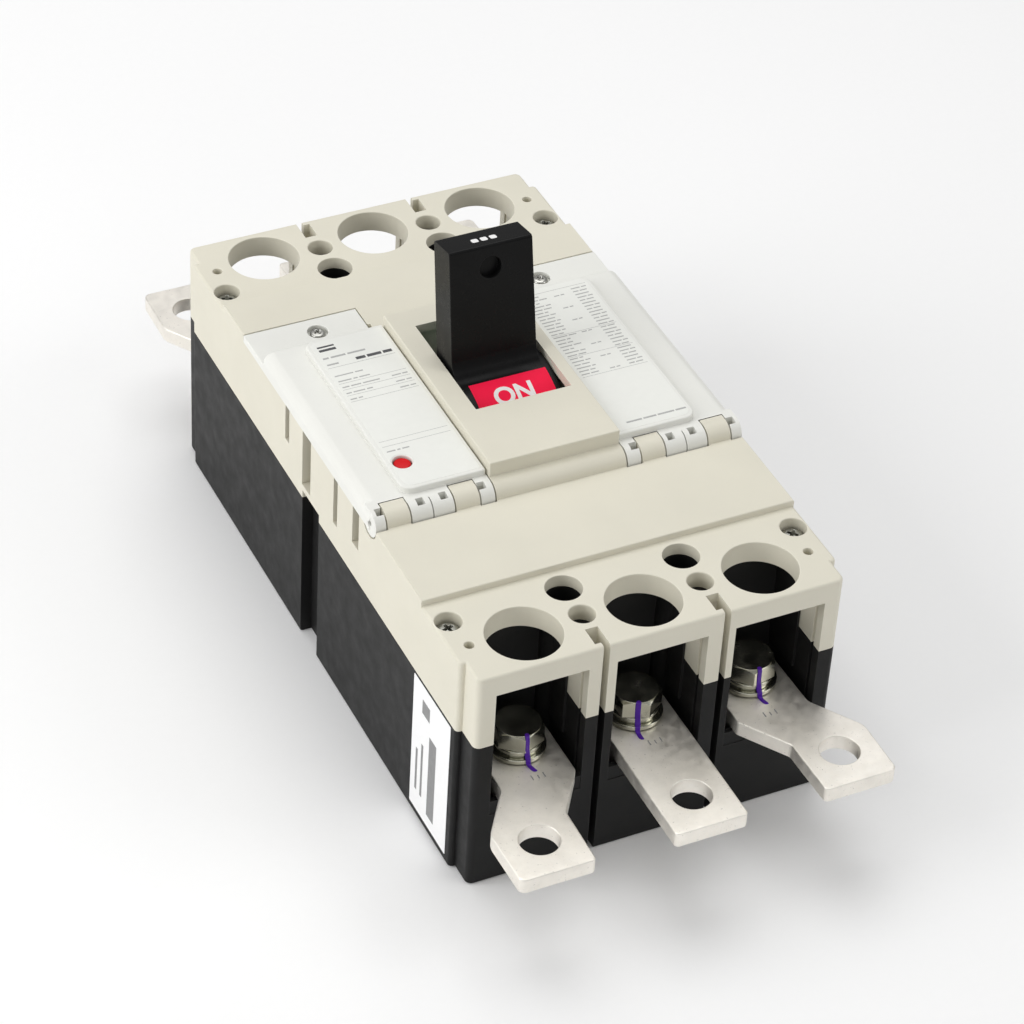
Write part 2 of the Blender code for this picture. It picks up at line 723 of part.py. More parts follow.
def make_links(look, pin_look):
    upper = plate("upper_link", link_outline(LINK_TOP, KNEE, 3.2), "YZ", -7.2, -5.4)
    join(
        upper,
        plate("upper_link_leg", link_outline(LINK_TOP, KNEE, 3.2), "YZ", 5.4, 7.2, True),
        rod("upper_link_rivet", (0, *LINK_TOP), "X", 1.7, 13.4, 12, True),
    )
    cut(upper, rod("upper_link_eye", (0, *KNEE), "X", 1.88, 30, 20, True))
    pivot_at(upper, *LINK_TOP)
    finish(upper, look)
    lower = plate("lower_link", link_outline(KNEE, LINK_FOOT, 2.8), "YZ", -9.6, -8.0)
    middle = ((KNEE[0] + LINK_FOOT[0]) / 2 - 0.6, (KNEE[1] + LINK_FOOT[1]) / 2 - 0.6)
    bridge = rod("lower_link_rivet", (0, *middle), "X", 1.3, 18.4, 10, True)
    join(
        lower,
        plate("lower_link_leg", link_outline(KNEE, LINK_FOOT, 2.8), "YZ", 8.0, 9.6, True),
        bridge,
    )
    cut(
        lower,
        rod("lower_link_eye", (0, *KNEE), "X", 1.88, 30, 20, True),
        rod("lower_link_foot_eye", (0, *LINK_FOOT), "X", 1.9, 30, 20, True),
    )
    pivot_at(lower, *KNEE)
    finish(lower, look)
    pin = rod("toggle_pin", (0, *KNEE), "X", 1.8, 22.4, 20)
    pivot_at(pin, *KNEE)
    finish(pin, pin_look, True)


def make_cradle(look):
    outline = [
        (34, 59), (34, 66), (26, 69), (4, 79), (-9, 79), (-11, 70),
        (-22.5, 61), (-22.5, 56.5), (-16, 58), (0, 62), (26, 57.5),
    ]
    cradle = plate("cradle", outline, "YZ", -2.5, 2.5)
    bore = rod("cradle_rivet_hole", (0, *LINK_TOP), "X", 1.78, 12, 20, True)
    pivot_hole = rod("cradle_pivot_hole", (0, *CRADLE_PIN), "X", 1.9, 12, 16, True)
    cut(cradle, bore, pivot_hole)
    pivot_at(cradle, *CRADLE_PIN)
    return finish(cradle, look)


def make_springs(look):
    """Two tension springs from the yoke's bridge towards the knee, carried by the yoke."""
    made = []
    for label, x in (("left", -10.0), ("right", 10.0)):
        points = helix(x, HANDLE_Y, HANDLE_Z - 12.0, HANDLE_Z + 20.0, 1.7, 8, 7)
        spring = wire(f"main_spring_{label}", points, 0.42, 0)
        pivot_at(spring, HANDLE_Y, HANDLE_Z, -HANDLE_TILT)
        made.append(finish(spring, look, True))
    return made


def make_latch(look):
    y, z = LATCH_PIN
    latch = box("latch", (-6, y - 0.9, z), (6, y + 0.9, 63))
    join(latch, rod("latch_shaft", (0, y, z), "X", 2.0, 26, 16, True))
    cut(latch, box("latch_window", (-3.0, y - 4, 55), (3.0, y + 4, 60), True))
    pivot_at(latch, y, z)
    return finish(latch, look)


def make_trip_bar(look):
    bar = rod("trip_bar", (0, TRIP_Y, TRIP_Z), "X", 3.0, 125, 16)
    paddles = []
    for pole, x in POLES.items():
        low, high = (x - 4, TRIP_Y - 1.2, TRIP_Z - 8), (x + 4, TRIP_Y + 1.2, TRIP_Z + 1)
        paddles.append(box(f"trip_bar_paddle_{pole}", low, high, True))
    join(bar, *paddles)
    pivot_at(bar, TRIP_Y, TRIP_Z)
    return finish(bar, look)


def make_crossbar(look):
    y, z = CROSSBAR_Y, CROSSBAR_Z
    bar = rod("crossbar", (0, y, z), "X", 6.0, 124, 20)
    blocks = []
    for pole, x in POLES.items():
        low, high = (x - 7.2, y - 8.6, z - 8.6), (x + 7.2, y + 8.6, z + 8.6)
        blocks.append(box(f"crossbar_block_{pole}", low, high, True))
    lug = [(y - 3, z), (y + 7, z), (y + 7, z + 11)]
    lug += [(LINK_FOOT[0] + 2.6, LINK_FOOT[1] + 1.5), (LINK_FOOT[0], LINK_FOOT[1] + 3)]
    lug += [(LINK_FOOT[0] - 2.6, LINK_FOOT[1] + 1.5)]
    blocks.append(plate("crossbar_lug", lug, "YZ", -4.5, 4.5, True))
    join(bar, *blocks)
    slots = []
    for pole, x in POLES.items():
        low, high = (x - 2.9, y - 30, z - 3.4), (x + 2.9, y + 30, z + 3.4)
        slots.append(box(f"crossbar_slot_{pole}", low, high, True))
    cut(bar, *slots)
    pivot_at(bar, y, z, OPEN_ANGLE)
    return finish(bar, look)


# ---------------------------------------------------------------- current path


def make_moving_contact(pole, x, look):
    y, z = CROSSBAR_Y, CROSSBAR_Z
    outline = [
        (y - 10.5, z - 2.6), (y + 40, z - 2.6), (y + 43, z - 5.8), (y + 50, z - 5.8),
        (y + 52, z - 2), (y + 50, z + 3), (y - 10.5, z + 3),
    ]
    arm = plate(f"moving_contact_{pole}", outline, "YZ", x - 2.6, x + 2.6)
    pivot_at(arm, y, z, OPEN_ANGLE)
    return finish(arm, look)


def make_line_conductor(pole, x, look):
    path = [(126, 34.2), (88.5, 34.2), (84.5, 10.6), (44, 10.6), (42, 18.2), (28, 18.2)]
    bar = plate(f"line_conductor_{pole}", strap(path, 4.8), "YZ", x - 12.4, x + 12.4)
    join(bar, box(f"line_contact_{pole}", (x - 5, 29.5, 19), (x + 5, 39, 23.6), True))
    hole = (x, TERMINAL_Y, 34)
    cut(bar, rod(f"line_pad_hole_{pole}", hole, "Z", 5.3, 20, 16, True))
    return finish(bar, look)


def make_load_conductor(pole, x, look):
    path = [(-126, 34.2), (-88.5, 34.2), (-84.5, 10.6), (-36, 10.6)]
    bar = plate(f"load_conductor_{pole}", strap(path, 4.8), "YZ", x - 12.4, x + 12.4)
    hole = (x, -TERMINAL_Y, 34)
    cut(bar, rod(f"load_pad_hole_{pole}", hole, "Z", 5.3, 20, 16, True))
    return finish(bar, look)


def make_bimetal(pole, x, look):
    outline = [
        (-63, 13.4), (-53.2, 13.4), (-53.2, 72), (-54.8, 72), (-54.8, 15.4), (-63, 15.4),
    ]
    strip = plate(f"bimetal_{pole}", outline, "YZ", x - 6, x + 6)
    return finish(strip, look)


def make_yoke(pole, x, look):
    outline = [
        (x - 12, -63), (x - 9.4, -63), (x - 9.4, -51), (x + 9.4, -51),
        (x + 9.4, -63), (x + 12, -63), (x + 12, -48.4), (x - 12, -48.4),
    ]
    return finish(plate(f"magnet_yoke_{pole}", outline, "XY", 24, 48), look)


def make_braid(pole, x, look):
    """Flexible connection from the contact arm's tail to the load strap."""
    path = [(-26.2, 28.6), (-30, 29.4), (-34.5, 28), (-38, 24), (-40.2, 18.5), (-40.8, 13.6)]
    points = [(x, y, z) for y, z in path]
    return finish(wire(f"braid_{pole}", points, 3.0, 2), look, True)


def make_arc_chute(pole, x, look):
    """Two fibre cheeks with splitter plates, each notched for the contact arm."""
    chute = box(f"arc_chute_{pole}", (x - 17.2, 50, 17), (x - 15.4, 80, 66))
    pieces = [box(f"chute_cheek_{pole}", (x + 15.4, 50, 17), (x + 17.2, 80, 66), True)]
    for k in range(7):
        z = 20.0 + 6.6 * k
        outline = [
            (x - 16, 45), (x - 6, 45), (x - 2.5, 62), (x + 2.5, 62),
            (x + 6, 45), (x + 16, 45), (x + 16, 82), (x - 16, 82),
        ]
        pieces.append(plate(f"splitter_{pole}_{k}", outline, "XY", z, z + 1.6, True))
    join(chute, *pieces)
    return finish(chute, look)


# ---------------------------------------------------------------- assembly


def main():
    clear_scene()
    black = material("black_moulding", (0.018, 0.018, 0.02), 0.45)
    ivory = material("ivory_moulding", (0.72, 0.70, 0.60), 0.5)
    white = material("lid_white", (0.82, 0.82, 0.79), 0.45)
    grip = material("grip_black", (0.012, 0.012, 0.013), 0.38)
    red = material("button_red", (0.75, 0.01, 0.015), 0.35)
    steel = material("zinc_steel", (0.62, 0.62, 0.6), 0.35, 1.0)
    dark_steel = material("mechanism_steel", (0.42, 0.43, 0.45), 0.4, 1.0)
    tin = material("tin_plate", (0.78, 0.76, 0.73), 0.42, 1.0)
    copper = material("copper", (0.72, 0.38, 0.25), 0.35, 1.0)
    spring_steel = material("spring_steel", (0.35, 0.35, 0.36), 0.3, 1.0)
    phenolic = material("crossbar_moulding", (0.16, 0.07, 0.04), 0.5)
    fibre = material("arc_chute_steel", (0.5, 0.48, 0.45), 0.5, 0.8)

    make_base(black)
    make_cover(ivory)
    for side in (-1, 1):
        make_lid(side, white)
        make_hinge_pin(side, steel)
        name = "lid_screw_left" if side < 0 else "lid_screw_right"
        where = (side * LID_SCREW_X, LID_SCREW_Y)
        make_screw(name, *where, (3.1, 94.4, 95.9), (1.45, 86.0), steel)
    for end, label in ((-1, "near"), (1, "far")):
        for side, hand in ((-1, "left"), (1, "right")):
            where = (side * CORNER_SCREW_X, end * CORNER_SCREW_Y)
            name = f"cover_screw_{label}_{hand}"
            make_screw(name, *where, (4.1, 87.2, 90.5), (2.1, 40.0), steel)
    make_button(red)
    make_button_spring(spring_steel)
    make_handle(grip)
    make_handle_arm(dark_steel)
    make_side_plate(-1, dark_steel)
    make_side_plate(1, dark_steel)
    make_links(dark_steel, steel)
    make_cradle(dark_steel)
    make_springs(spring_steel)
    make_latch(dark_steel)
    make_trip_bar(phenolic)
    make_crossbar(phenolic)
    for pole, x in POLES.items():
        make_moving_contact(pole, x, copper)
        make_line_conductor(pole, x, tin)
        make_load_conductor(pole, x, tin)
        make_bimetal(pole, x, steel)
        make_yoke(pole, x, dark_steel)
        make_braid(pole, x, copper)
        make_arc_chute(pole, x, fibre)
        for end, label in ((-1, "load"), (1, "line")):
            make_terminal_bar(f"terminal_bar_{label}_{pole}", x, end, tin)
            make_terminal_bolt(f"terminal_bolt_{label}_{pole}", x, end * TERMINAL_Y, steel)
    cutters.hide_render = True
    bpy.context.scene.collection.children.link(parts)
    bpy.context.scene.collection.children.link(cutters)


main()
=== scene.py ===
"""Looks of the three-pole molded case breaker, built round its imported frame.

The mouldings, handle, screws, bolts, bars and springs are rebuilt with rounded edges, prints
and paint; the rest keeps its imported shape. Lengths are millimetres in the row frame.
"""

import json
from math import atan2, cos, degrees, pi, radians, sin, sqrt, tan

import bmesh
import bpy
from mathutils import Matrix, Vector, geometry

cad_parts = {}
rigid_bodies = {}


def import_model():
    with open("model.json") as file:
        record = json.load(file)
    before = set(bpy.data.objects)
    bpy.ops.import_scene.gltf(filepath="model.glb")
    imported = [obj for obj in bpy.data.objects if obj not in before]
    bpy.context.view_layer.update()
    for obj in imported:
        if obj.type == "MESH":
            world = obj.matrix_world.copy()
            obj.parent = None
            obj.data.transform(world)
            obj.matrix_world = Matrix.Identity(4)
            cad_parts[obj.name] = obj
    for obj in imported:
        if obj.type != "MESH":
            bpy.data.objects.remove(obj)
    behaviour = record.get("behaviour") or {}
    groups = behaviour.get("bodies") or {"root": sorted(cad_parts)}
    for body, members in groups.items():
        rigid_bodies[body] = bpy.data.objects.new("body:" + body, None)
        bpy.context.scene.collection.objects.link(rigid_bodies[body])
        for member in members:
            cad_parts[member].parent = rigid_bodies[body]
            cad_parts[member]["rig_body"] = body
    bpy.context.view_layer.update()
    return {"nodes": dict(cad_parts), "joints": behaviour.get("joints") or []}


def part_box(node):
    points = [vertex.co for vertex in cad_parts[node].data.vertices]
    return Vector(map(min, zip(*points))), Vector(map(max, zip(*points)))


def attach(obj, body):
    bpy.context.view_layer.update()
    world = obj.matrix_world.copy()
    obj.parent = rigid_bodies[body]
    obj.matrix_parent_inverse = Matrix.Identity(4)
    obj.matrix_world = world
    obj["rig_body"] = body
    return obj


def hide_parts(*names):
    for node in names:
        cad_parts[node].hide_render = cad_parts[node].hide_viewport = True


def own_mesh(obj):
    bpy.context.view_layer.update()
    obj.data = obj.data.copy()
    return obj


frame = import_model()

SCENE = bpy.context.scene
MM = 0.001
TAU = 2 * pi


# ---- places, read from the frame


def node_box(name):
    low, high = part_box(name)
    return low / MM, high / MM


def node_centre(name):
    low, high = node_box(name)
    return (low + high) / 2


def node_heights(name):
    return [corner.z for corner in node_box(name)]


COVER_LOW, COVER_HIGH = node_box("cover")
BAR_LOW, BAR_TOP = node_heights("terminal_bar_line_right")
HINGE = node_centre("hinge_pin_right")
BUTTON = node_centre("trip_button")
JOINTS = {joint["name"]: joint for joint in frame["joints"]}
PIVOT, CROSSBAR, TRIP_AXIS = (
    Vector(JOINTS[name]["pos_m"]) / MM
    for name in ("handle_throw", "crossbar_turn", "trip_bar_turn")
)
BODY_OF = {name: obj["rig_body"] for name, obj in frame["nodes"].items()}

# Heights and outlines of the housing
HALF_WIDTH, HALF_LENGTH = COVER_HIGH.x, COVER_HIGH.y
SHOULDER_Y = HALF_LENGTH - 10.0
HOOD_HALF_WIDTH = HALF_WIDTH - 2.2
SEAM_LOW, SEAM_HIGH = node_heights("base")[1], COVER_LOW.z
ESCUTCHEON_TOP = COVER_HIGH.z
PLATEAU_TOP = ESCUTCHEON_TOP - 11.0
HOOD_TOP = ESCUTCHEON_TOP - 13.5
PLATEAU_HALF = 88.0
ESCUTCHEON_HALF, ESCUTCHEON_Y = 24.8, (-43.3, 47.3)
TERMINAL_TOP, TERMINAL_FLOOR, TERMINAL_START = 85.0, 31.0, 96.0
# Top of the black liners that paint shade in the terminal compartments.
SHADE_LINER_TOP = TERMINAL_TOP - 0.4
CHAMBER_HALF = 19.25
GAP = 0.3
OVERRUN = 4.0

# Places across the poles and along the case
POLES = {"left": -44.0, "centre": 0.0, "right": 44.0}
OPENINGS = ((-61.0, -27.2), (-16.9, 16.9), (27.2, 61.0))
SLOT_X, SLOT_HALF = 22.4, 2.35
TERMINAL_Y = 112.5
MOUNT, DIMPLE = (22.0, 97.0), (22.0, 111.0)
PINHOLE, CORNER_SCREW = (63.1, 111.0), (64.6, 97.8)
ACCESS_R, MOUNT_R, DIMPLE_R, PINHOLE_R = 13.2, 6.45, 4.6, 1.75
TOWER_R, TOWER_TOP = 7.9, 88.4
# Black posts under the dimples, a dark floor as painted shade.
SHADE_POST_R, SHADE_POST_TOP = 4.45, 87.0
CORNER_SCREW_FLOOR, LID_SCREW_FLOOR = 86.9, 94.1

# Lids and their hinges
RIM_Z = 93.0
KNUCKLE_R = 5.0
PIN_BORE, PIN_SIDES = 1.07, 20
LID_TOP, LABEL_TOP = HINGE.z + KNUCKLE_R, node_heights("lid_right")[1]
PRINT_Z = LABEL_TOP + 0.06
LID_EDGE, LID_ROUND = 70.2, 4.2
LID_FINGERS = ((25.2, 30.5), (40.3, 56.3), (65.8, 69.9))
COVER_FINGERS = ((30.9, 39.9), (56.7, 65.4))
LID_SCREW = (44.4, 60.5)
CORE_WINDOWS = (29.0, 43.3, 51.8, 67.0)

# Handle, drawn upright about its pivot
HANDLE_X, HANDLE_TILT = 1.7, 11.0
GRIP_HALF, GRIP_TOP, GRIP_FOOT, GRIP_CROWN, FOOT_FILLET = 15.9, 82.2, 6.4, 6.1, 8.0
FAR_SWELL, GRIP_FLARE, FOOT_SHIFT = 0.7, 0.035, 0.6
SHUTTER_R, SHUTTER_HALF = 35.0, 18.0
LABEL_LOW, LABEL_HIGH, LABEL_START, LABEL_END = -12.3, 17.5, 20.3, 62.0
WORD_SIZE, WORD_ANGLE, WORD_X = 9.8, 33.3, 2.3

# Terminals
BOLT_HOLE_R, LUG_HOLE_R, LUG_HOLE = 5.5, 7.0, (56.2, 156.0)
HEX_CORNER, HEAD_TALL, CHAMFER_R = 9.35, 6.6, 8.2
SPLIT_SLANT = 28
BOLT_TURNS = {"left": 21, "centre": 37, "right": 13}
MARK_HEADINGS = {"left": -93, "centre": -109, "right": -94}


# ---- shape functions


def linked(name, data):
    """A new object in the scene that shows the data."""
    obj = bpy.data.objects.new(name, data)
    SCENE.collection.objects.link(obj)
    return obj


def opened(mesh):
    bm = bmesh.new()
    bm.from_mesh(mesh)
    return bm


def closed(bm, mesh):
    bm.to_mesh(mesh)
    bm.free()


def shape_of(bm):
    """A new object from the finished bmesh."""
    mesh = bpy.data.meshes.new("shape")
    closed(bm, mesh)
    return linked("shape", mesh)


def outward(bm):
    """Turns every face outwards."""
    bmesh.ops.recalc_face_normals(bm, faces=bm.faces)


def mm(*values):
    """A place or size given in millimetres, in metres."""
    return Vector(values) * MM


def wrap(bm, loops):
    """Side faces between each loop of points and the next."""
    for one, two in zip(loops, loops[1:]):
        for i in range(len(one)):
            n = (i + 1) % len(one)
            bm.faces.new((one[i], one[n], two[n], two[i]))


def rounded(points, radii, steps=5):
    """The outline with its corners rounded."""
    out = []
    count = len(points)
    for i, corner in enumerate(points):
        radius = radii[i] if isinstance(radii, list) else radii
        here = Vector(corner)
        if radius <= 0:
            out.append(tuple(here))
            continue
        before = (Vector(points[i - 1]) - here).normalized()
        after = (Vector(points[(i + 1) % count]) - here).normalized()
        half = before.angle(after) / 2
        reach = radius / tan(half)
        centre = here + (before + after).normalized() * radius / sin(half)
        first = here + before * reach - centre
        last = here + after * reach - centre
        sweep = first.angle_signed(last)
        for k in range(steps + 1):
            arm = first.copy()
            arm.rotate(Matrix.Rotation(-sweep * k / steps, 2))
            out.append(tuple(centre + arm))
    return out


def arc(centre, radius, start, end, steps):
    """Points on a circle; degrees from the second axis towards the first."""
    points = []
    for k in range(steps + 1):
        angle = radians(start + (end - start) * k / steps)
        points.append((centre[0] + radius * sin(angle), centre[1] + radius * cos(angle)))
    return points


def rectangle(low, high, radius=0.0, steps=5):
    points = [low, (high[0], low[1]), high, (low[0], high[1])]
    return rounded(points, radius, steps)


PLANES = {
    "XY": lambda a, b, h: (a, b, h),
    "YZ": lambda a, b, h: (h, a, b),
    "XZ": lambda a, b, h: (a, h, b),
}


def slab(outline, plane, low, high, rim=0.0, rim_low=0.0, steps=3):
    """A flat outline made solid between two heights, with its rims rounded."""
    bm = bmesh.new()
    place = PLANES[plane]
    rings = []
    for height in (low, high):
        rings.append([bm.verts.new(mm(*place(a, b, height))) for a, b in outline])
    caps = [bm.faces.new(ring) for ring in rings]
    wrap(bm, rings)
    outward(bm)
    for face, radius in zip(caps, (rim_low, rim)):
        if radius > 0:
            bmesh.ops.bevel(
                bm, geom=list(face.edges), offset=radius * MM, segments=steps,
                profile=0.5, affect="EDGES", clamp_overlap=True,
            )
    return shape_of(bm)


def box(xs, ys, zs, corner=0.0, rim=0.0, rim_low=0.0):
    """A box given by its span along each axis; corner rounds its upright edges, rim and
    rim_low its top and bottom edges."""
    outline = rectangle((xs[0], ys[0]), (xs[1], ys[1]), corner)
    return slab(outline, "XY", *zs, rim, rim_low)


def plate(half_x, half_y, low, high, *rims):
    """A box centred over the origin."""
    return box((-half_x, half_x), (-half_y, half_y), (low, high), *rims)


def around(centre, half):
    return centre - half, centre + half


def span(side, near, far):
    """Two distances put on one side of the middle, the lower one first."""
    return tuple(sorted((side * near, side * far)))


def pole_spans(half):
    return [around(x, half) for x in POLES.values()]


def end_boxes(spans, near, far, low, high):
    """Boxes over the spans across the case, at both of its ends."""
    return [box(xs, span(end, near, far), (low, high)) for end in (-1, 1) for xs in spans]


def side_box(side, low, high, *rims):
    """A box given for the right side, put on the side asked for."""
    return box(span(side, low[0], high[0]), (low[1], high[1]), (low[2], high[2]), *rims)


def turned(profile, centre=(0, 0, 0), axis="Z", sides=48):
    """A solid of revolution; profile is (radius, height) from one end to the other."""
    bm = bmesh.new()
    rings = []
    for radius, height in profile:
        ring = []
        for k in range(sides):
            angle = TAU * k / sides
            ring.append(bm.verts.new((radius * cos(angle), radius * sin(angle), height)))
        rings.append(ring)
    bm.faces.new(rings[0])
    bm.faces.new(rings[-1])
    wrap(bm, rings)
    outward(bm)
    turn = {
        "X": Matrix.Rotation(pi / 2, 4, "Y"),
        "Y": Matrix.Rotation(-pi / 2, 4, "X"),
        "Z": Matrix.Identity(4),
    }[axis]
    bmesh.ops.transform(bm, matrix=turn, verts=bm.verts)
    bmesh.ops.translate(bm, vec=Vector(centre), verts=bm.verts)
    bmesh.ops.scale(bm, vec=(MM, MM, MM), verts=bm.verts)
    return shape_of(bm)


def rod(x, y, radius, low, high, sides=32):
    """A plain upright round bar."""
    return turned([(radius, low), (radius, high)], (x, y, 0), "Z", sides)


def quarter(radius, height, fillet, upward, steps=4):
    """Profile points of the rounded rim of a hole."""
    points = []
    for k in range(steps + 1):
        angle = pi / 2 * k / steps
        across = fillet * (1 - cos(angle))
        points.append((radius + across, height - upward * fillet * (1 - sin(angle))))
    return points


def bore(x, y, radius, low, high, flare=0.0, flare_low=0.0, sides=48):
    """Cutter for an upright through hole with rounded rims."""
    profile = [(radius + flare_low, low - OVERRUN)]
    if flare_low:
        profile += quarter(radius, low, flare_low, -1)[::-1]
    if flare:
        profile += quarter(radius, high, flare, 1)
    profile.append((radius + flare, high + OVERRUN))
    return turned(profile, (x, y, 0), "Z", sides)


def blind(x, y, radius, floor, high, flare, sides=32):
    """Cutter for a hole with a floor."""
    profile = [(radius * 0.98, floor), (radius, floor + 0.15)]
    profile += quarter(radius, high, flare, 1)
    profile.append((radius + flare, high + OVERRUN))
    return turned(profile, (x, y, 0), "Z", sides)


def evaluated_mesh(obj):
    bpy.context.view_layer.update()
    graph = bpy.context.evaluated_depsgraph_get()
    return bpy.data.meshes.new_from_object(obj.evaluated_get(graph))


def settle(obj):
    """Applies the object's modifiers."""
    mesh = evaluated_mesh(obj)
    old = obj.data
    obj.modifiers.clear()
    obj.data = mesh
    bpy.data.meshes.remove(old)


def boolean(obj, operation, shapes):
    """One exact Boolean; a difference can take several shapes at once."""
    modifier = obj.modifiers.new("cut", "BOOLEAN")
    modifier.operation = operation
    modifier.solver = "EXACT"
    group = None
    if len(shapes) == 1:
        modifier.object = shapes[0]
    else:
        group = bpy.data.collections.new("helpers")
        for shape in shapes:
            group.objects.link(shape)
        modifier.operand_type = "COLLECTION"
        modifier.collection = group
    settle(obj)
    for shape in shapes:
        data = shape.data
        bpy.data.objects.remove(shape)
        bpy.data.meshes.remove(data)
    if group:
        bpy.data.collections.remove(group)


def tidy(obj):
    """Welds doubled points and merges the flat faces a Boolean leaves split."""
    bm = opened(obj.data)
    bmesh.ops.remove_doubles(bm, verts=bm.verts, dist=2e-6)
    bmesh.ops.dissolve_degenerate(bm, edges=bm.edges, dist=2e-6)
    bmesh.ops.dissolve_limit(bm, angle_limit=radians(0.4), verts=bm.verts, edges=bm.edges)
    closed(bm, obj.data)


def made(body, joins=(), cuts=()):
    """The body with shapes joined one by one, then every cut taken away."""
    for shape in joins:
        boolean(body, "UNION", [shape])
    if cuts:
        boolean(body, "DIFFERENCE", list(cuts))
    tidy(body)


def edge_rounding(obj, width, steps, angle):
    bevel = obj.modifiers.new("rounding", "BEVEL")
    bevel.width = width * MM
    bevel.segments = steps
    bevel.limit_method = "ANGLE"
    bevel.angle_limit = radians(angle)
    return bevel


def soften(obj, width, steps=2, angle=32.0):
    """Rounds every edge sharper than the angle and shades flats flat."""
    bevel = edge_rounding(obj, width, steps, angle)
    bevel.use_clamp_overlap = True
    bevel.miter_outer = "MITER_ARC"
    settle(obj)
    shade(obj)


def retile(obj):
    """Cuts many-sided faces into triangles that stay inside their outlines."""
    bm = opened(obj.data)
    bmesh.ops.remove_doubles(bm, verts=bm.verts, dist=3e-6)
    for face in [face for face in bm.faces if len(face.verts) > 4]:
        corners = list(face.verts)
        along = face.normal.orthogonal().normalized()
        across = face.normal.cross(along)
        flat = [Vector((v.co.dot(along), v.co.dot(across))) / MM for v in corners]
        outline = [list(range(len(flat)))]
        tiles, origin = geometry.delaunay_2d_cdt(flat, [], outline, 1, 1e-5)[2:4]
        if not tiles or not all(origin):
            continue
        bm.faces.remove(face)
        for tile in tiles:
            trio = [corners[origin[k][0]] for k in tile]
            if len(set(trio)) == 3 and not bm.faces.get(trio):
                bm.faces.new(trio)
    bm.normal_update()
    closed(bm, obj.data)


def shade(obj, crease=40.0):
    """Smooth shading with sharp creases and flat flats."""
    retile(obj)
    obj.data.shade_smooth()
    obj.data.set_sharp_from_angle(angle=radians(crease))
    weighted = obj.modifiers.new("flats", "WEIGHTED_NORMAL")
    weighted.keep_sharp = True
    weighted.weight = 80
    settle(obj)


def turn_about(obj, centre, angle, axis="X"):
    """Turns the mesh itself, so that the object stays at the origin."""
    middle = Matrix.Translation(mm(*centre))
    turn = Matrix.Rotation(radians(angle), 4, axis)
    obj.data.transform(middle @ turn @ middle.inverted())


def turn_and_move(obj, angle, x, y, z=0.0):
    """Turns the mesh about the upright axis, then carries it to its place."""
    turn = Matrix.Rotation(radians(angle), 4, "Z")
    obj.data.transform(Matrix.Translation(mm(x, y, z)) @ turn)
    return obj


def piece(obj, name, body, look, node=None):
    """Names a shape and gives it its finish, its body and the node it replaces."""
    obj.name = name
    obj.data.name = name
    obj.data.materials.clear()
    obj.data.materials.append(look)
    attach(obj, body)
    if node:
        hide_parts(node)


def stand_in(obj, node, suffix, look):
    piece(obj, node + suffix, BODY_OF[node], look, node)


# ---- finishes


class Finish:
    """A node material with varied colour and roughness, edge wear with painted edge highlight, and
    relief.
    """

    def __init__(self, name, roughness, gloss=0.5, metallic=0.0, stretch=(1, 1, 1)):
        self.material = bpy.data.materials.new(name)
        self.material.use_nodes = True
        self.tree = self.material.node_tree
        self.shader = self.tree.nodes["Principled BSDF"]
        self.feed(self.shader, Metallic=metallic, Specular_IOR_Level=gloss)
        self.base_roughness = roughness
        place = self.node("TexCoord").outputs["Object"]
        self.place = self.node("Mapping", Vector=place, Scale=stretch).outputs["Vector"]

    def put(self, socket, value):
        """A number or colour is set, another node's output is linked."""
        if isinstance(value, bpy.types.NodeSocket):
            self.tree.links.new(value, socket)
        else:
            socket.default_value = (*value, 1.0) if socket.type == "RGBA" else value

    def feed(self, node, **inputs):
        for name, value in inputs.items():
            self.put(node.inputs[name.replace("_", " ")], value)

    def node(self, kind, **inputs):
        node = self.tree.nodes.new("ShaderNode" + kind)
        self.feed(node, **inputs)
        return node

    def noise(self, scale, detail=3.0, rough=0.55):
        values = {"Vector": self.place, "Scale": scale, "Detail": detail, "Roughness": rough}
        return self.node("TexNoise", **values).outputs["Fac"]

    def ranged(self, value, low, high, out_low=0.0, out_high=1.0):
        values = {"From_Min": low, "From_Max": high, "To_Min": out_low, "To_Max": out_high}
        return self.node("MapRange", Value=value, **values).outputs["Result"]

    def product(self, a, b):
        node = self.node("Math")
        node.operation = "MULTIPLY"
        self.put(node.inputs[0], a)
        self.put(node.inputs[1], b)
        return node.outputs["Value"]

    def mixed(self, share, a, b):
        """A colour between a and b; either is a colour or a socket."""
        node = self.node("Mix", Factor=share)
        node.data_type = "RGBA"
        self.put(node.inputs[6], a)
        self.put(node.inputs[7], b)
        return node.outputs[2]

    def cloudy(self, colour, spread, scale, detail=4, rough=0.55):
        """The colour, varied up and down by a share in soft patches."""
        cloud = self.ranged(self.noise(scale, detail, rough), 0.3, 0.7)
        return self.mixed(cloud, shaded(colour, 1 - spread), shaded(colour, 1 + spread))

    def edges(self, radius, low, high):
        """1 on sharp outer edges, 0 on flats."""
        bevel = self.node("Bevel", Radius=radius * MM)
        bevel.samples = 4
        dot = self.node("VectorMath")
        dot.operation = "DOT_PRODUCT"
        self.put(dot.inputs[0], bevel.outputs["Normal"])
        self.put(dot.inputs[1], self.node("NewGeometry").outputs["Normal"])
        return self.ranged(dot.outputs["Value"], high, low)

    def done(self, colour, cloud, spread, grain, strength, distance):
        """The material, with its roughness varied by a cloud and its relief cut by a grain."""
        low, high = self.base_roughness - spread, self.base_roughness + spread
        rough = self.ranged(cloud, 0.3, 0.7, low, high)
        bump = self.node("Bump", Height=grain, Strength=strength, Distance=distance * MM)
        normal = bump.outputs["Normal"]
        self.feed(self.shader, Base_Color=colour, Roughness=rough, Normal=normal)
        return self.material


def shaded(colour, factor):
    return tuple(min(1.0, channel * factor) for channel in colour)


def grey(value):
    return (value, value, value)


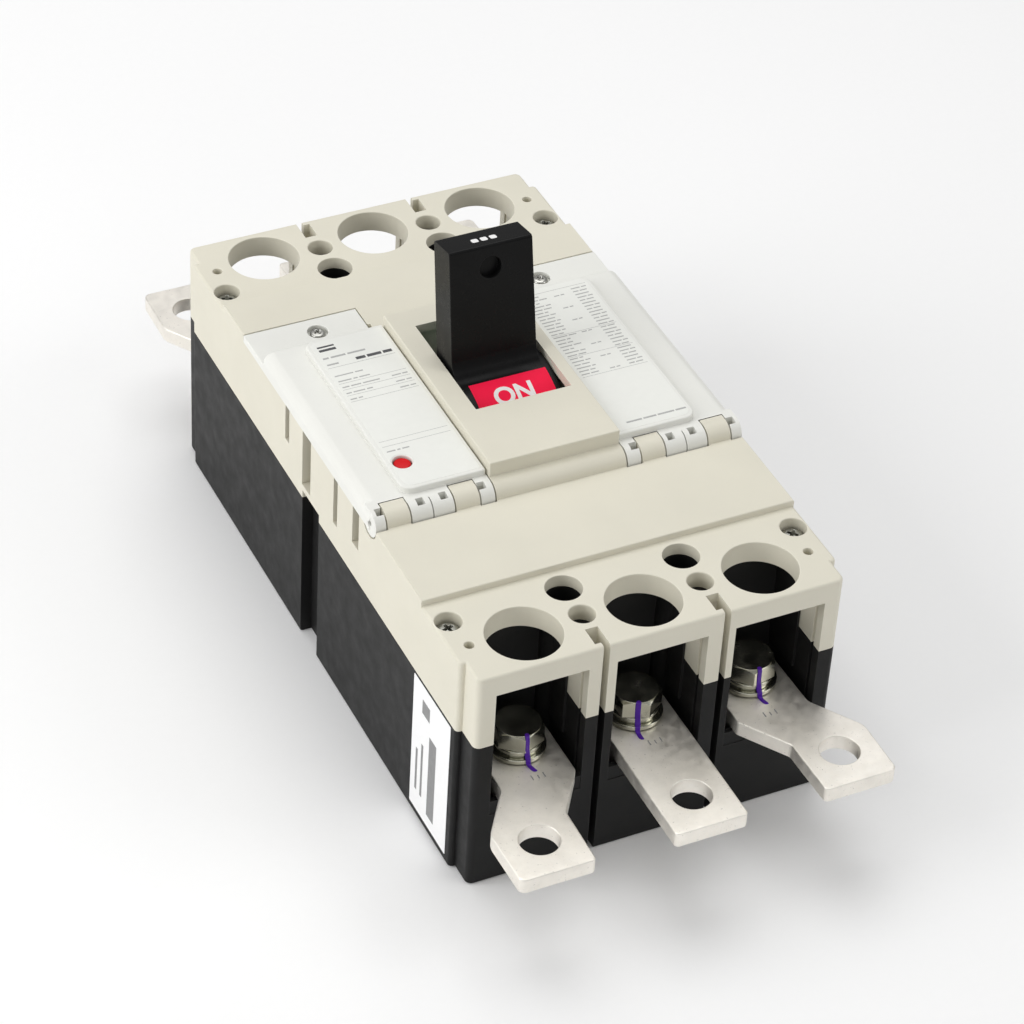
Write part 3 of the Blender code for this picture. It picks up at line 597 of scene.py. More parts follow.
def moulded(name, colour, roughness, grain, edge_wear_and_highlight_colour, mottle=0.05, dust=None, gloss=0.5):
    """Moulded plastic: faint flow mottling, fine spark-eroded grain, paler edges that are partly
    wear and partly a painted highlight.
    """
    finish = Finish(name, roughness, gloss)
    base = finish.cloudy(colour, mottle, 42)
    fine = finish.noise(1500, 2)
    base = finish.mixed(finish.ranged(fine, 0.62, 0.8, 0, 0.35), base, shaded(colour, 0.86))
    if dust:
        specks = finish.ranged(finish.noise(1100, 5, 0.7), 0.72, 0.78)
        patches = finish.ranged(finish.noise(25, 2), 0.5, 0.75)
        base = finish.mixed(finish.product(specks, patches), base, dust)
    # Paler sharp edges: partly rubbed wear, partly a painted highlight along the rims.
    edge_wear_and_highlight_mask = finish.ranged(finish.noise(120, 4), 0.35, 0.65)
    edge_wear_and_highlight_mask = finish.product(finish.edges(0.7, 0.86, 0.99), edge_wear_and_highlight_mask)
    base = finish.mixed(finish.product(edge_wear_and_highlight_mask, 0.5), base, edge_wear_and_highlight_colour)
    return finish.done(base, finish.noise(160, 4), 0.06, finish.noise(2600, 3, 0.6), grain, 0.08)


def plated(name, colour, roughness, relief, blotch, stretch=(1, 1, 1), scale=120, dirt=0.68):
    """Plated steel or copper: cloudy plating, drawn or blasted relief, darker specks."""
    finish = Finish(name, roughness, metallic=1.0, stretch=stretch)
    base = finish.cloudy(colour, blotch, scale, 5, 0.6)
    specks = finish.ranged(finish.noise(scale * 9, 3, 0.7), dirt, dirt + 0.07, 0, 0.6)
    base = finish.mixed(specks, base, shaded(colour, 0.45))
    grain = finish.noise(scale * 14, 3, 0.6)
    return finish.done(base, finish.noise(scale * 3, 4), 0.08, grain, relief, 0.06)


def painted(name, colour, roughness=0.4, mottle=0.06, gloss=0.5):
    """Ink, paint or film: near-even colour and faint orange peel."""
    finish = Finish(name, roughness, gloss)
    base = finish.cloudy(colour, mottle, 300)
    return finish.done(base, finish.noise(500, 2), 0.05, finish.noise(1800, 2), 0.05, 0.05)


IVORY = moulded(
    "cover_moulding", (0.725, 0.695, 0.585), 0.5, 0.2, (0.86, 0.84, 0.76), 0.02, gloss=0.35
)
WHITE = moulded(
    "lid_moulding", (0.80, 0.80, 0.755), 0.46, 0.14, (0.92, 0.92, 0.9), 0.015, gloss=0.4
)
BLACK = moulded("base_moulding", grey(0.016), 0.47, 0.25, grey(0.07), 0.05, grey(0.14), 0.13)
# The grip's lighter edge colour, grey 0.055, is mostly a painted highlight along its rims.
GRIP = moulded(
    "handle_moulding", (0.006, 0.006, 0.0062), 0.29, 0.1, grey(0.055), 0.08, gloss=0.12
)
RED_BUTTON = moulded(
    "button_moulding", (0.66, 0.004, 0.008), 0.36, 0.05, (0.7, 0.03, 0.03), 0.06, gloss=0.18
)
CROSSBAR_LOOK = moulded("crossbar_moulding", (0.13, 0.055, 0.03), 0.5, 0.3, (0.25, 0.14, 0.1), 0.2)
ZINC = plated("zinc_plated_steel", (0.46, 0.455, 0.425), 0.3, 0.05, 0.05)
NICKEL = plated("bright_plated_bolt", (0.56, 0.555, 0.47), 0.2, 0.02, 0.03, scale=60)
DULL_ZINC = plated("dull_zinc_screw", (0.34, 0.34, 0.31), 0.38, 0.08, 0.08)
STEEL = plated("pressed_steel", (0.42, 0.43, 0.45), 0.4, 0.15, 0.1, (1, 1, 4))
SPRING = plated("spring_steel", (0.33, 0.33, 0.34), 0.3, 0.1, 0.1)
TIN = plated("tin_plate", (0.90, 0.865, 0.80), 0.5, 0.35, 0.06, scale=110, dirt=0.645)
COPPER = plated("copper", (0.72, 0.36, 0.22), 0.36, 0.2, 0.12, (1, 6, 1))
CHUTE = plated("arc_chute_steel", (0.5, 0.48, 0.45), 0.5, 0.2, 0.1, (1, 3, 1))
FILM = painted("label_film", (0.83, 0.835, 0.79), 0.4, 0.01, 0.3)
PAPER = painted("sticker_paper", grey(0.93), 0.5, 0.01, 0.3)
INK = painted("label_ink", (0.42, 0.42, 0.41), 0.5)
DARK_INK = painted("dark_ink", (0.07, 0.07, 0.075), 0.5)
GREY_INK = painted("grey_ink", grey(0.25), 0.5)
RED_LABEL = painted("red_label", (0.96, 0.010, 0.062), 0.5, 0.02, 0.12)
GREEN_LABEL = painted("green_label", (0.0, 0.13, 0.06), 0.5, 0.05, 0.2)
WHITE_INK = painted("white_ink", (0.88, 0.87, 0.86), 0.5, 0.02, 0.2)
PURPLE = painted("torque_paint", (0.085, 0.012, 0.36), 0.4, 0.12, 0.3)


# ---- housing


def at_four(shape, point, *sizes, **more):
    """The upright shape at a point and its three mirror images."""
    places = [(sx * point[0], sy * point[1]) for sx in (-1, 1) for sy in (-1, 1)]
    return [shape(x, y, *sizes, **more) for x, y in places]


def at_bolts(shape, *sizes, **more):
    """The upright shape over each of the six terminal bolts."""
    places = [(x, end * TERMINAL_Y) for x in POLES.values() for end in (-1, 1)]
    return [shape(x, y, *sizes, **more) for x, y in places]


def compartments(low, high):
    """Open terminal compartments of the three poles, at both ends."""
    return end_boxes(OPENINGS, TERMINAL_START, HALF_LENGTH + OVERRUN, low, high)


def walls_and_shade_liners():
    """Black walls of the base behind and beside the bolts; above the seam they are thin black
    liners over the cover's ivory walls, painted shade for the deep compartments.
    """
    backs = ((-60.6, -30.4), (-13.6, 13.6), (30.4, 60.6))
    shapes = end_boxes(backs, 95.4, 97.5, 40.0, SEAM_LOW)
    # Liners up to the liner top: black sheets over the cover's ivory walls, painted shade.
    shapes += end_boxes(backs, 96.3, 97.5, 60.0, SHADE_LINER_TOP)
    for wall, inward in zip(sum(OPENINGS, ()), (1, -1) * 3):
        near = 97.2 if abs(wall) > 60 else 104.4
        for start, low, high in ((-0.8, 45.0, SEAM_LOW), (0.135, 60.0, SHADE_LINER_TOP)):
            xs = sorted((wall + start * inward, wall + 0.9 * inward))
            shapes += end_boxes([xs], near, 114.5, low, high)
    return shapes


def barrier_grooves(low, high):
    """A groove down the inner face of each compartment wall, near its mouth."""
    walls = [around(wall, 1.0) for wall in sum(OPENINGS, ())]
    return end_boxes(walls, 123.2, 124.8, low, high)


def barrier_slots(low, high):
    """Slots between the poles, each a pocket with a one-sided lip at its mouth."""
    shapes = []
    for end in (-1, 1):
        pocket_y, mouth_y = span(end, SHOULDER_Y, 126.2), span(end, 125.0, HALF_LENGTH + OVERRUN)
        for x in (-SLOT_X, SLOT_X):
            shapes.append(box(around(x, SLOT_HALF), pocket_y, (low, high)))
            mouth_x = sorted((x - end * SLOT_HALF, x + end * 0.15))
            shapes.append(box(mouth_x, mouth_y, (low, high)))
    return shapes


def chambers(low, high, y_low=-92.0, y_high=92.0):
    """The hollows of the three poles."""
    return [box(xs, (y_low, y_high), (low, high)) for xs in pole_spans(CHAMBER_HALF)]


def side_channels(low, high):
    """The recess half way along each side wall."""
    corners = (65.6, -2.4, low), (HALF_WIDTH + 5, 12.6, high)
    return [side_box(side, *corners) for side in (-1, 1)]


def make_base():
    base = plate(HALF_WIDTH, SHOULDER_Y, 0, SEAM_LOW, 1.6, 0, 0.8)
    ends = plate(HOOD_HALF_WIDTH, HALF_LENGTH, 0, SEAM_LOW, 2.4, 0, 0.8)
    cuts = compartments(TERMINAL_FLOOR, 80) + chambers(6, 81)
    cuts += end_boxes(pole_spans(14.2), 90.0, 98.0, 20, 39)
    cuts += at_bolts(bore, 5.6, 16, 32, sides=24)
    made(base, [ends], cuts)
    sill_y, sill_z = (126.4, HALF_LENGTH - GAP), (TERMINAL_FLOOR - 1, BAR_LOW - GAP)
    towers = end_boxes(pole_spans(17.8), *sill_y, *sill_z) + walls_and_shade_liners()
    towers += at_four(rod, MOUNT, TOWER_R, 0.9, TOWER_TOP)
    # Black posts under the dimples give each a dark floor: painted shade in the holes.
    towers += at_four(rod, DIMPLE, SHADE_POST_R, 50, SHADE_POST_TOP)
    cuts = barrier_slots(-5, 85) + side_channels(-5, 75) + barrier_grooves(TERMINAL_FLOOR, 80)
    cuts += at_four(rod, MOUNT, 3.4, -10, 14, 24) + at_four(rod, MOUNT, 6.5, 12, 95)
    cuts += at_four(rod, CORNER_SCREW, 2.4, 35, 75, 16)
    cuts += [box(around(x, 6), around(CROSSBAR.y, 8.2), (20, 90)) for x in (-22, 22)]
    cuts += [box(xs, (-80, 80), (-3, 1.5), 3) for xs in pole_spans(15)]
    made(base, towers, cuts)
    soften(base, 0.4)
    stand_in(base, "base", "_moulding", BLACK)


def knuckle(low, high):
    """A hinge barrel that rounds down to the plateau."""
    outline = [(HINGE.y - KNUCKLE_R, 88.0)]
    outline += arc((HINGE.y, HINGE.z), KNUCKLE_R, -90, 0, 10)
    outline += [(-42.2, LID_TOP), (-42.2, 88.0)]
    return slab(outline, "YZ", low, high)


def hinge_rod(side, start, end, radius, sides=48):
    """A round bar on the axis of one lid's hinge, for cutting."""
    reach = (end - start) / 2
    where = (side * (start + end) / 2, HINGE.y, HINGE.z)
    return turned([(radius, -reach), (radius, reach)], where, "X", sides)


def accessory_pocket(side):
    """The pocket under one lid, the lid's seat and the wire slots in the side wall."""
    sizes = [
        ((24.95, HINGE.y, RIM_Z), (75, 57.6, 120)),
        ((25.8, 50, RIM_Z), (75, 68.6, 120)),
        ((30, -34, 72), (62, 52, 120)),
        ((60, 25.3, 78), (75, 28.9, 95)),
        ((60, 5.7, 69), (75, 13.2, 95)),
        ((60, -18.0, 73), (75, -14.5, 95)),
        ((60, -36.5, 77), (75, -31.0, 95)),
    ]
    return [side_box(side, *size) for size in sizes]


def pocket_ribs(side):
    """Ribs and posts that locate an accessory in the pocket."""
    sizes = [
        ((31, 14, 71), (61, 15.4, 84)),
        ((38, -33.9, 71), (39.4, -12, 80)),
        ((52, 16, 71), (53.4, 51.9, 82)),
        ((31, -3, 71), (44, -1.6, 78)),
    ]
    posts = [rod(side * x, y, 2.4, 71, 86, 24) for x, y in ((35, 46), (57, 8), (35, 8))]
    return [side_box(side, *size) for size in sizes] + posts


def make_cover():
    cover = plate(HALF_WIDTH, SHOULDER_Y, SEAM_HIGH, HOOD_TOP, 1.6, 1.0)
    ends = plate(HOOD_HALF_WIDTH, HALF_LENGTH, SEAM_HIGH, HOOD_TOP, 2.4, 1.0)
    plateau = plate(HALF_WIDTH, PLATEAU_HALF, 80, PLATEAU_TOP, 0, 0.5)
    cuts = accessory_pocket(-1) + accessory_pocket(1) + compartments(50, TERMINAL_TOP)
    cuts += chambers(50, 69) + chambers(50, 88, -92.0, -52.0)
    made(cover, [ends, plateau], cuts)
    x = ESCUTCHEON_HALF
    joins = [box((-x, x), ESCUTCHEON_Y, (80, ESCUTCHEON_TOP), 0.5, 0.5)]
    joins.append(knuckle(-x, x))
    for side in (-1, 1):
        joins += [knuckle(*span(side, *finger)) for finger in COVER_FINGERS]
        joins.append(side_box(side, (24.0, 58, 85), (26.1, 70, PLATEAU_TOP)))
        joins += pocket_ribs(side)
    joins += at_four(rod, MOUNT, TOWER_R, TOWER_TOP + GAP, 91.9)
    made(cover, joins, cover_openings() + hinge_pockets())
    soften(cover, 0.3)
    stand_in(cover, "cover", "_moulding", IVORY)


def cover_openings():
    """Holes over bolts and screws, the handle's window and room for the trip gear."""
    shapes = barrier_slots(50, 120) + barrier_grooves(50, SHADE_LINER_TOP)
    shapes += at_bolts(bore, ACCESS_R, 75, HOOD_TOP, 0.35, sides=72)
    shapes += at_four(bore, MOUNT, MOUNT_R, 40, HOOD_TOP, 0.3, sides=40)
    shapes += at_four(rod, MOUNT, 8.2, 55, TOWER_TOP + GAP)
    shapes += at_four(bore, DIMPLE, DIMPLE_R, 60, HOOD_TOP, 0.5, sides=36)
    shapes += at_four(blind, PINHOLE, PINHOLE_R, 87.0, HOOD_TOP, 0.35, 20)
    shapes += at_four(rod, CORNER_SCREW, 2.4, 50, 90, 16)
    shapes += at_four(blind, CORNER_SCREW, 4.7, CORNER_SCREW_FLOOR, HOOD_TOP, 0.5)
    shapes += side_channels(50, 66.5)
    shapes += [rod(side * LID_SCREW[0], LID_SCREW[1], 2.2, 80, 100, 20) for side in (-1, 1)]
    return shapes + [
        box((-19.6, 22.2), (-31, 44), (50, 103.4)),
        box(around(HANDLE_X, SHUTTER_HALF + 0.4), (-14.4, 37.3), (95, 120), 0.3),
        box((-40, 40), around(TRIP_AXIS.y, 6), (50, TRIP_AXIS.z + 6)),
        rod(BUTTON.x, BUTTON.y, 1.8, 60, 80, 24),
    ]


def hinge_pockets():
    """Clearances for the lid knuckles and bores for the pins."""
    shapes = []
    for side in (-1, 1):
        shapes.append(hinge_rod(side, 24.8, LID_EDGE, PIN_BORE, PIN_SIDES))
        for start, end in LID_FINGERS:
            stop = end + 0.45 if end < 69 else 72.0
            shapes.append(hinge_rod(side, start - 0.45, stop, 5.6))
    return shapes


# ---- accessory lids


def label_outline(side, inset=0.0, inner_inset=0.0):
    """The raised label plate, its big corners outside."""
    low, high = (25.4 + inner_inset, -41.6 + inset), (56.0 - inset, 47.0 - inset)
    big, small = 4.0 - inset * 0.6, 0.6
    return [(side * x, y) for x, y in rectangle(low, high, [small, big, big, small], 8)]


def lid_finger(side, start, end):
    """A hinge barrel of the lid, with a flat top that runs into the lid."""
    centre = (HINGE.y, HINGE.z)
    outline = arc(centre, KNUCKLE_R, -180, 0, 20) + [(HINGE.y + 5, LID_TOP)]
    outline += arc(centre, KNUCKLE_R, 90, 180, 10)[:-1]
    return slab(outline, "YZ", *span(side, start, end))


def make_lid(hand, side):
    floor = RIM_Z + GAP
    outline = [(25.2, floor), (25.2, LID_TOP)]
    outline += arc((LID_EDGE - LID_ROUND, LID_TOP - LID_ROUND), LID_ROUND, 0, 90, 10)
    outline.append((LID_EDGE, floor))
    lid = slab([(side * x, z) for x, z in outline], "XZ", HINGE.y, 50, 1.2)
    strip = side_box(side, (26.4, 48, floor), (LID_EDGE, 68.2, PLATEAU_TOP), 0.4, 0.4)
    label = slab(label_outline(side), "XY", 98.0, LABEL_TOP, 0.9)
    cuts = [
        side_box(side, (28.5, -36.5, 80), (64.5, 45.5, 99)),
        side_box(side, (28.5, -36.5, 80), (53.5, 44.5, 101.6)),
    ]
    for start, end in COVER_FINGERS:
        start, end = start - 0.4, end + 0.4
        cuts.append(hinge_rod(side, start, end, 5.95))
        cuts.append(side_box(side, (start, -60, 80), (end, -41.85, 110)))
    made(lid, [strip, label], cuts)
    joins = [lid_finger(side, start + 0.12, end - 0.12) for start, end in LID_FINGERS]
    joins += [side_box(side, (28, y, 96.5), (64.8, y + 1.2, 99.4)) for y in (-18, 6, 28)]
    x, y = side * LID_SCREW[0], LID_SCREW[1]
    cuts = [
        hinge_rod(side, 17.5, 77.5, PIN_BORE, PIN_SIDES),
        rod(x, y, 1.7, 88, 99, 20),
        blind(x, y, 3.8, LID_SCREW_FLOOR, PLATEAU_TOP, 0.25),
    ]
    for x in CORE_WINDOWS:
        cuts.append(side_box(side, (x - 1.4, -47.4, 94.4), (x + 1.4, -44.3, 110)))
    cuts.append(side_box(side, (48.05, -50.6, 90), (48.5, -44.9, 110)))
    if side < 0:
        cuts.append(bore(BUTTON.x, BUTTON.y, 3.5, 90, LABEL_TOP, 0.4, sides=40))
        cuts.append(box(around(BUTTON.x, 4.6), around(BUTTON.y, 4.6), (80, 99.2)))
    made(lid, joins, cuts)
    soften(lid, 0.3)
    stand_in(lid, f"lid_{hand}", "_moulding", WHITE)
    outline = label_outline(side, 1.5, 1.3)
    film = slab(outline, "XY", LABEL_TOP - 0.1, LABEL_TOP + 0.09, 0.04, steps=2)
    if side < 0:
        boolean(film, "DIFFERENCE", [bore(BUTTON.x, BUTTON.y, 4.1, 100, 104, sides=40)])
    shade(film)
    piece(film, f"label_film_{hand}", f"{hand}_lid_set", FILM)


def rule(x, y, width, height, z=PRINT_Z):
    """The corners of one thin printed bar."""
    return (x, y, z), (x + width, y + height, z + 0.05)


def ink_piece(name, bars, body, look):
    """Many thin bars as one printed layer."""
    bm = bmesh.new()
    for low, high in bars:
        cube = bmesh.ops.create_cube(bm, size=1.0)["verts"]
        low, high = mm(*low), mm(*high)
        bmesh.ops.scale(bm, vec=high - low, verts=cube)
        bmesh.ops.translate(bm, vec=(high + low) / 2, verts=cube)
    piece(shape_of(bm), name, body, look)


def dashes(x, y, widths, height=0.6, gap=0.7):
    """A row of short bars in place of small print."""
    bars = []
    for width in widths:
        bars.append(rule(x, y, width, height))
        x += width + gap
    return bars


def print_left_label():
    """Generic rules and short bars, no words."""
    left, right = -53.5, -27.8
    bars = []
    for y in (29.6, 20.0, 16.4, 12.8, 9.2, -15.0, -17.9):
        bars.append(rule(left, y, right - left, 0.16))
    bars += dashes(left + 0.4, 35.0, (2.2, 5.6, 6.8), 0.9, 0.8)
    bars += dashes(left + 0.4, 31.2, (4.4,), 0.8)
    rows = (
        (24.4, (7.0, 3.0)), (21.2, (5.0, 1.6, 4.0)), (17.6, (2.6, 3.8, 6.4)),
        (14.0, (2.0, 4.4, 2.2)), (10.4, (2.4, 1.6)), (-21.0, (3.2, 1.2, 2.6)),
    )
    for y, widths in rows:
        bars += dashes(left + 0.4, y, widths)
    for y in (17.6, 14.0, 10.4):
        bars += dashes(right - 6.4, y, (3.4, 2.0), gap=0.6)
    ink_piece("label_print_left", bars, "left_lid_set", INK)
    dark = dashes(-42.0, 31.0, (3.6, 5.4, 3.4), 1.5)
    dark += dashes(-52.6, 39.4, (6.4,), 1.3) + dashes(-52.6, 41.6, (6.4,), 0.9)
    ink_piece("label_dark_print_left", dark, "left_lid_set", DARK_INK)


def print_right_label():
    """A generic table of rules and short bars, no words."""
    left, right = 27.8, 53.5
    bars = [rule(left, y, right - left, 0.16) for y in (42.6, 17.0, 3.8, -8.2)]
    for k in range(26):
        y = 40.6 - 1.9 * k
        first, second = (3.2, 4.6, 2.4, 5.4, 3.8)[k % 5], (2.0, 3.0, 1.4)[k % 3]
        bars += dashes(left + 0.3, y, (first, second), 0.55, 0.6)
        bars += dashes(right - 6.6, y, ((3.6, 2.0), (2.2, 2.8), (5.4,))[k % 3], 0.55, 0.5)
        if k % 4 == 1:
            bars += dashes(left + 11.5, y, (2.0, 1.4), 0.55, 0.6)
    bars += dashes(left + 3.0, -37.0, (6.0, 5.0, 6.4, 4.0), 0.8, 0.6)
    ink_piece("label_print_right", bars, "right_lid_set", INK)


# ---- handle and its marks


def make_handle():
    """Grip and curved shutter, drawn upright and then tilted to the rest place."""
    centre = (PIVOT.y, PIVOT.z)
    shutter = arc(centre, SHUTTER_R, -65, 66, 60) + arc(centre, SHUTTER_R - 2.5, 66, -65, 60)
    handle = slab(shutter, "YZ", *around(HANDLE_X, SHUTTER_HALF), 0.4, 0.4, 2)
    reach = GRIP_FOOT + FOOT_FILLET
    start = sqrt((SHUTTER_R + FOOT_FILLET) ** 2 - reach**2)
    sweep = degrees(atan2(start, reach))
    crown = [(0, GRIP_TOP), (GRIP_CROWN, GRIP_TOP), (GRIP_FOOT, start)]
    half = rounded(crown, [0, 1.2, 0])[1:-1]
    half += arc((reach, start - 0.03), FOOT_FILLET, -90, -90 - sweep, 12)
    half.append((half[-1][0] - 0.6, SHUTTER_R - 2.2))
    sides = [(y + (FAR_SWELL if z > start else 0.0), z) for y, z in half]
    sides += [(-y, z) for y, z in half[::-1]]
    grip_x = HANDLE_X - 0.4
    outline = [(PIVOT.y + y, PIVOT.z + z) for y, z in sides]
    grip = slab(outline, "YZ", *around(grip_x, GRIP_HALF), 0.8, 0.8, 4)
    for vertex in grip.data.vertices:
        drop = (PIVOT.z + GRIP_TOP - vertex.co.z / MM) / (GRIP_TOP - start)
        drop = min(max(drop, 0), 1)
        across = (vertex.co.x - grip_x * MM) * (1 + GRIP_FLARE * drop)
        vertex.co.x = grip_x * MM + across - FOOT_SHIFT * MM * drop
    root = box((-11.8, 11.8), around(PIVOT.y, 6), (PIVOT.z + 23, PIVOT.z + 34))
    where = (HANDLE_X - 0.8, PIVOT.y - GRIP_CROWN, PIVOT.z + 73.4)
    dimple = turned([(4.5, -4), (4.5, -0.25), (4.15, 0.1), (4.0, 2.2), (3.7, 2.7)], where, "Y")
    made(handle, [grip, root], [dimple])
    on_handle(handle, "handle_moulding", GRIP, "handle", 35)


def on_handle(obj, name, look, node=None, crease=40.0):
    turn_about(obj, PIVOT, -HANDLE_TILT)
    shade(obj, crease)
    piece(obj, name, "handle_set", look, node)


def curved_patch(start, end, lift):
    """A thin layer on the shutter between two angles from the grip's own axis."""
    centre, radius, steps = (PIVOT.y, PIVOT.z), SHUTTER_R + lift, 40
    outline = arc(centre, radius, start, end, steps)
    outline += arc(centre, radius + 0.09, end, start, steps)
    return slab(outline, "YZ", LABEL_LOW, LABEL_HIGH)


def curve_mesh(curve):
    """The welded mesh of a curve or text."""
    guide = linked("guide", curve)
    mesh = evaluated_mesh(guide)
    bpy.data.objects.remove(guide)
    bm = opened(mesh)
    bmesh.ops.remove_doubles(bm, verts=bm.verts, dist=1e-7)
    outward(bm)
    return bm


def letters(text, angle):
    """Letters as a solid that points out of the shutter at an angle."""
    curve = bpy.data.curves.new("letters", "FONT")
    curve.body = text
    curve.size = WORD_SIZE * MM
    curve.align_x = curve.align_y = "CENTER"
    curve.extrude = 4 * MM
    curve.offset = 0.3 * MM
    curve.resolution_u = 6
    bm = curve_mesh(curve)
    turn = Matrix.Rotation(radians(-angle), 4, "X")
    out = Matrix.Translation(mm(WORD_X, PIVOT.y, PIVOT.z)) @ turn
    out = out @ Matrix.Translation((0, 0, SHUTTER_R * MM))
    bmesh.ops.transform(bm, matrix=out, verts=bm.verts)
    return shape_of(bm)


def make_handle_marks():
    """Position labels on the shutter and plain marks on top of the grip."""
    near, far = LABEL_START, LABEL_END
    marks = (
        ("ON", RED_LABEL, -far, -near, -WORD_ANGLE, "button_red"),
        ("OFF", GREEN_LABEL, near, far, WORD_ANGLE, None),
    )
    for text, look, start, end, middle, slot in marks:
        patch = curved_patch(start, end, -0.03)
        on_handle(patch, f"position_label_{text.lower()}", look)
        word = curved_patch(start, end, 0.03)
        boolean(word, "INTERSECT", [letters(text, middle)])
        on_handle(word, f"position_word_{text.lower()}", WHITE_INK)
    top = PIVOT.z + GRIP_TOP
    for k, name in enumerate(("left", "middle", "right")):
        x, y = HANDLE_X - 0.8 + 3.5 * (k - 1), PIVOT.y - 1.0
        outline = rectangle((x - 1.25, y - 1.35), (x + 1.25, y + 1.35), 0.7)
        mark = slab(outline, "XY", top - 0.05, top + 0.05)
        turn_about(mark, PIVOT, -HANDLE_TILT)
        piece(mark, f"grip_top_mark_{name}", "handle_set", WHITE_INK)


# ---- screws, button, springs


def cross_cut(x, y, top, reach, depth):
    """A tapering cross recess."""
    shapes = []
    for turn in (0, 90):
        wide, tip = reach * 0.24, reach * 0.45
        outline = [(-reach, top + 1), (reach, top + 1), (tip, top - depth), (-tip, top - depth)]
        shapes.append(turn_and_move(slab(outline, "XZ", -wide, wide), turn, x, y))
    return shapes


def pan_head(radius, under, top, shank, tip):
    """Profile of a screw from its tip to the crown of its head."""
    crown = ((0.97, 0), (1, 0.18), (1, 0.45), (0.95, 0.68), (0.82, 0.87), (0.6, 0.97), (0.2, 1))
    profile = [(shank * 0.55, tip), (shank, tip + shank * 0.6), (shank, under)]
    return profile + [(radius * r, under + (top - under) * z) for r, z in crown]


def make_screw(node, radius, tall, shank, turn, look):
    x, y = node_centre(node).xy
    tip, top = node_heights(node)
    screw = turned(pan_head(radius, top - tall, top, shank, tip), (x, y, 0), "Z", 40)
    made(screw, cuts=cross_cut(x, y, top, radius * 0.62, tall * 0.75))
    turn_about(screw, (x, y, 0), turn, "Z")
    soften(screw, 0.06, 1, 40)
    stand_in(screw, node, "_turned", look)


def make_screws():
    for k, hand in enumerate(("left", "right")):
        make_screw(f"lid_screw_{hand}", 2.9, 1.5, 1.45, 20 + 35 * k, ZINC)
    for k, place in enumerate(("near_left", "near_right", "far_left", "far_right")):
        make_screw(f"cover_screw_{place}", 4.1, 3.3, 2.1, 15 + 27 * k, DULL_ZINC)


def make_button():
    low, high = node_heights("trip_button")
    profile = [(1.3, low), (1.6, low + 0.4), (1.6, 92.0), (2.9, 92.0), (3.1, 92.2)]
    profile += [(3.1, high - 0.6), (2.95, high - 0.2), (2.55, high), (0.4, high)]
    button = turned(profile, (BUTTON.x, BUTTON.y, 0))
    shade(button, 50)
    stand_in(button, "trip_button", "_turned", RED_BUTTON)


def coil(x, y, low, high, radius, turns, wire, closing=0.0):
    """A coil spring; closing brings its end turns nearer to each other."""
    curve = bpy.data.curves.new("coil", "CURVE")
    curve.dimensions = "3D"
    curve.bevel_depth = wire * MM
    curve.bevel_resolution = 3
    curve.use_fill_caps = True
    steps = turns * 20
    spline = curve.splines.new("POLY")
    spline.points.add(steps)
    for k, point in enumerate(spline.points):
        angle, t = TAU * k / 20, k / steps
        rise = min(max(t - closing * sin(TAU * t) / TAU, 0), 1)
        z = low + wire + (high - low - 2 * wire) * rise
        point.co = (*mm(x + radius * cos(angle), y + radius * sin(angle), z), 1.0)
    return shape_of(curve_mesh(curve))


def make_springs():
    low, high = node_heights("trip_button_spring")
    spring = coil(BUTTON.x, BUTTON.y, low, high, 2.6, 6, 0.35, 0.24)
    shade(spring, 60)
    piece(spring, "trip_button_coil", "case", SPRING, "trip_button_spring")
    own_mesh(spring)
    for hand, x in (("left", -10.0), ("right", 10.0)):
        spring = coil(x, PIVOT.y, PIVOT.z - 12.2, PIVOT.z + 20.3, 1.7, 17, 0.42)
        node = f"main_spring_{hand}"
        on_handle(spring, node + "_coil", SPRING, node, 60)


# ---- terminals


def make_bar(node, x, end):
    """Plated extension bar; the outer ones jog away from the centre."""
    side = (x > 0) - (x < 0)
    if side:
        points = [
            (30.6, 99), (30.6, 130.6), (42.3, 147.6), (42.7, 171.4),
            (70.0, 171.4), (70.3, 148.0), (58.2, 130.2), (57.6, 99),
        ]
        radii = [0.8, 3, 3, 1.6, 2.5, 7, 4, 0.8]
        points = [(side * px, py) for px, py in points]
    else:
        points = [(-13.5, 99), (-13.5, 171.4), (13.5, 171.4), (13.5, 99)]
        radii = [0.8, 1.6, 1.6, 0.8]
    outline = [(px, end * py) for px, py in rounded(points, radii, 6)]
    bar = slab(outline, "XY", BAR_LOW, BAR_TOP, 0.45, 0.45)
    lug_x, lug_y = side * LUG_HOLE[0], end * LUG_HOLE[1]
    made(bar, cuts=[
        bore(x, end * TERMINAL_Y, BOLT_HOLE_R, BAR_LOW, BAR_TOP, 0.3, 0.3, 40),
        bore(lug_x, lug_y, LUG_HOLE_R, BAR_LOW, BAR_TOP, 0.35, 0.35, 56),
    ])
    shade(bar, 35)
    stand_in(bar, node, "_plated", TIN)


def make_bolt(node, x, y, turn):
    """Hex bolt with a chamfered head, and its washers."""
    low, high = node_heights(node)
    under = high - HEAD_TALL
    angles = [radians(turn + 60 * k) for k in range(6)]
    hexagon = [(HEX_CORNER * cos(a), HEX_CORNER * sin(a)) for a in angles]
    head = slab(hexagon, "XY", under, high)
    form = turned(
        [(9.1, under - 0.2), (9.5, under + 0.2), (9.5, high - 1.0), (CHAMFER_R, high - 0.2),
         (7.9, high), (1.0, high - 0.15)], sides=72,
    )
    boolean(head, "INTERSECT", [form])
    made(head, [turned([(4.2, low), (4.9, low + 0.7), (4.9, under + 0.5)], sides=32)])
    soften(head, 0.12, 2, 24)
    turn_and_move(head, 0, x, y)
    stand_in(head, node, "_head", NICKEL)
    make_washers(node, x, y, BAR_TOP + GAP, under, turn)


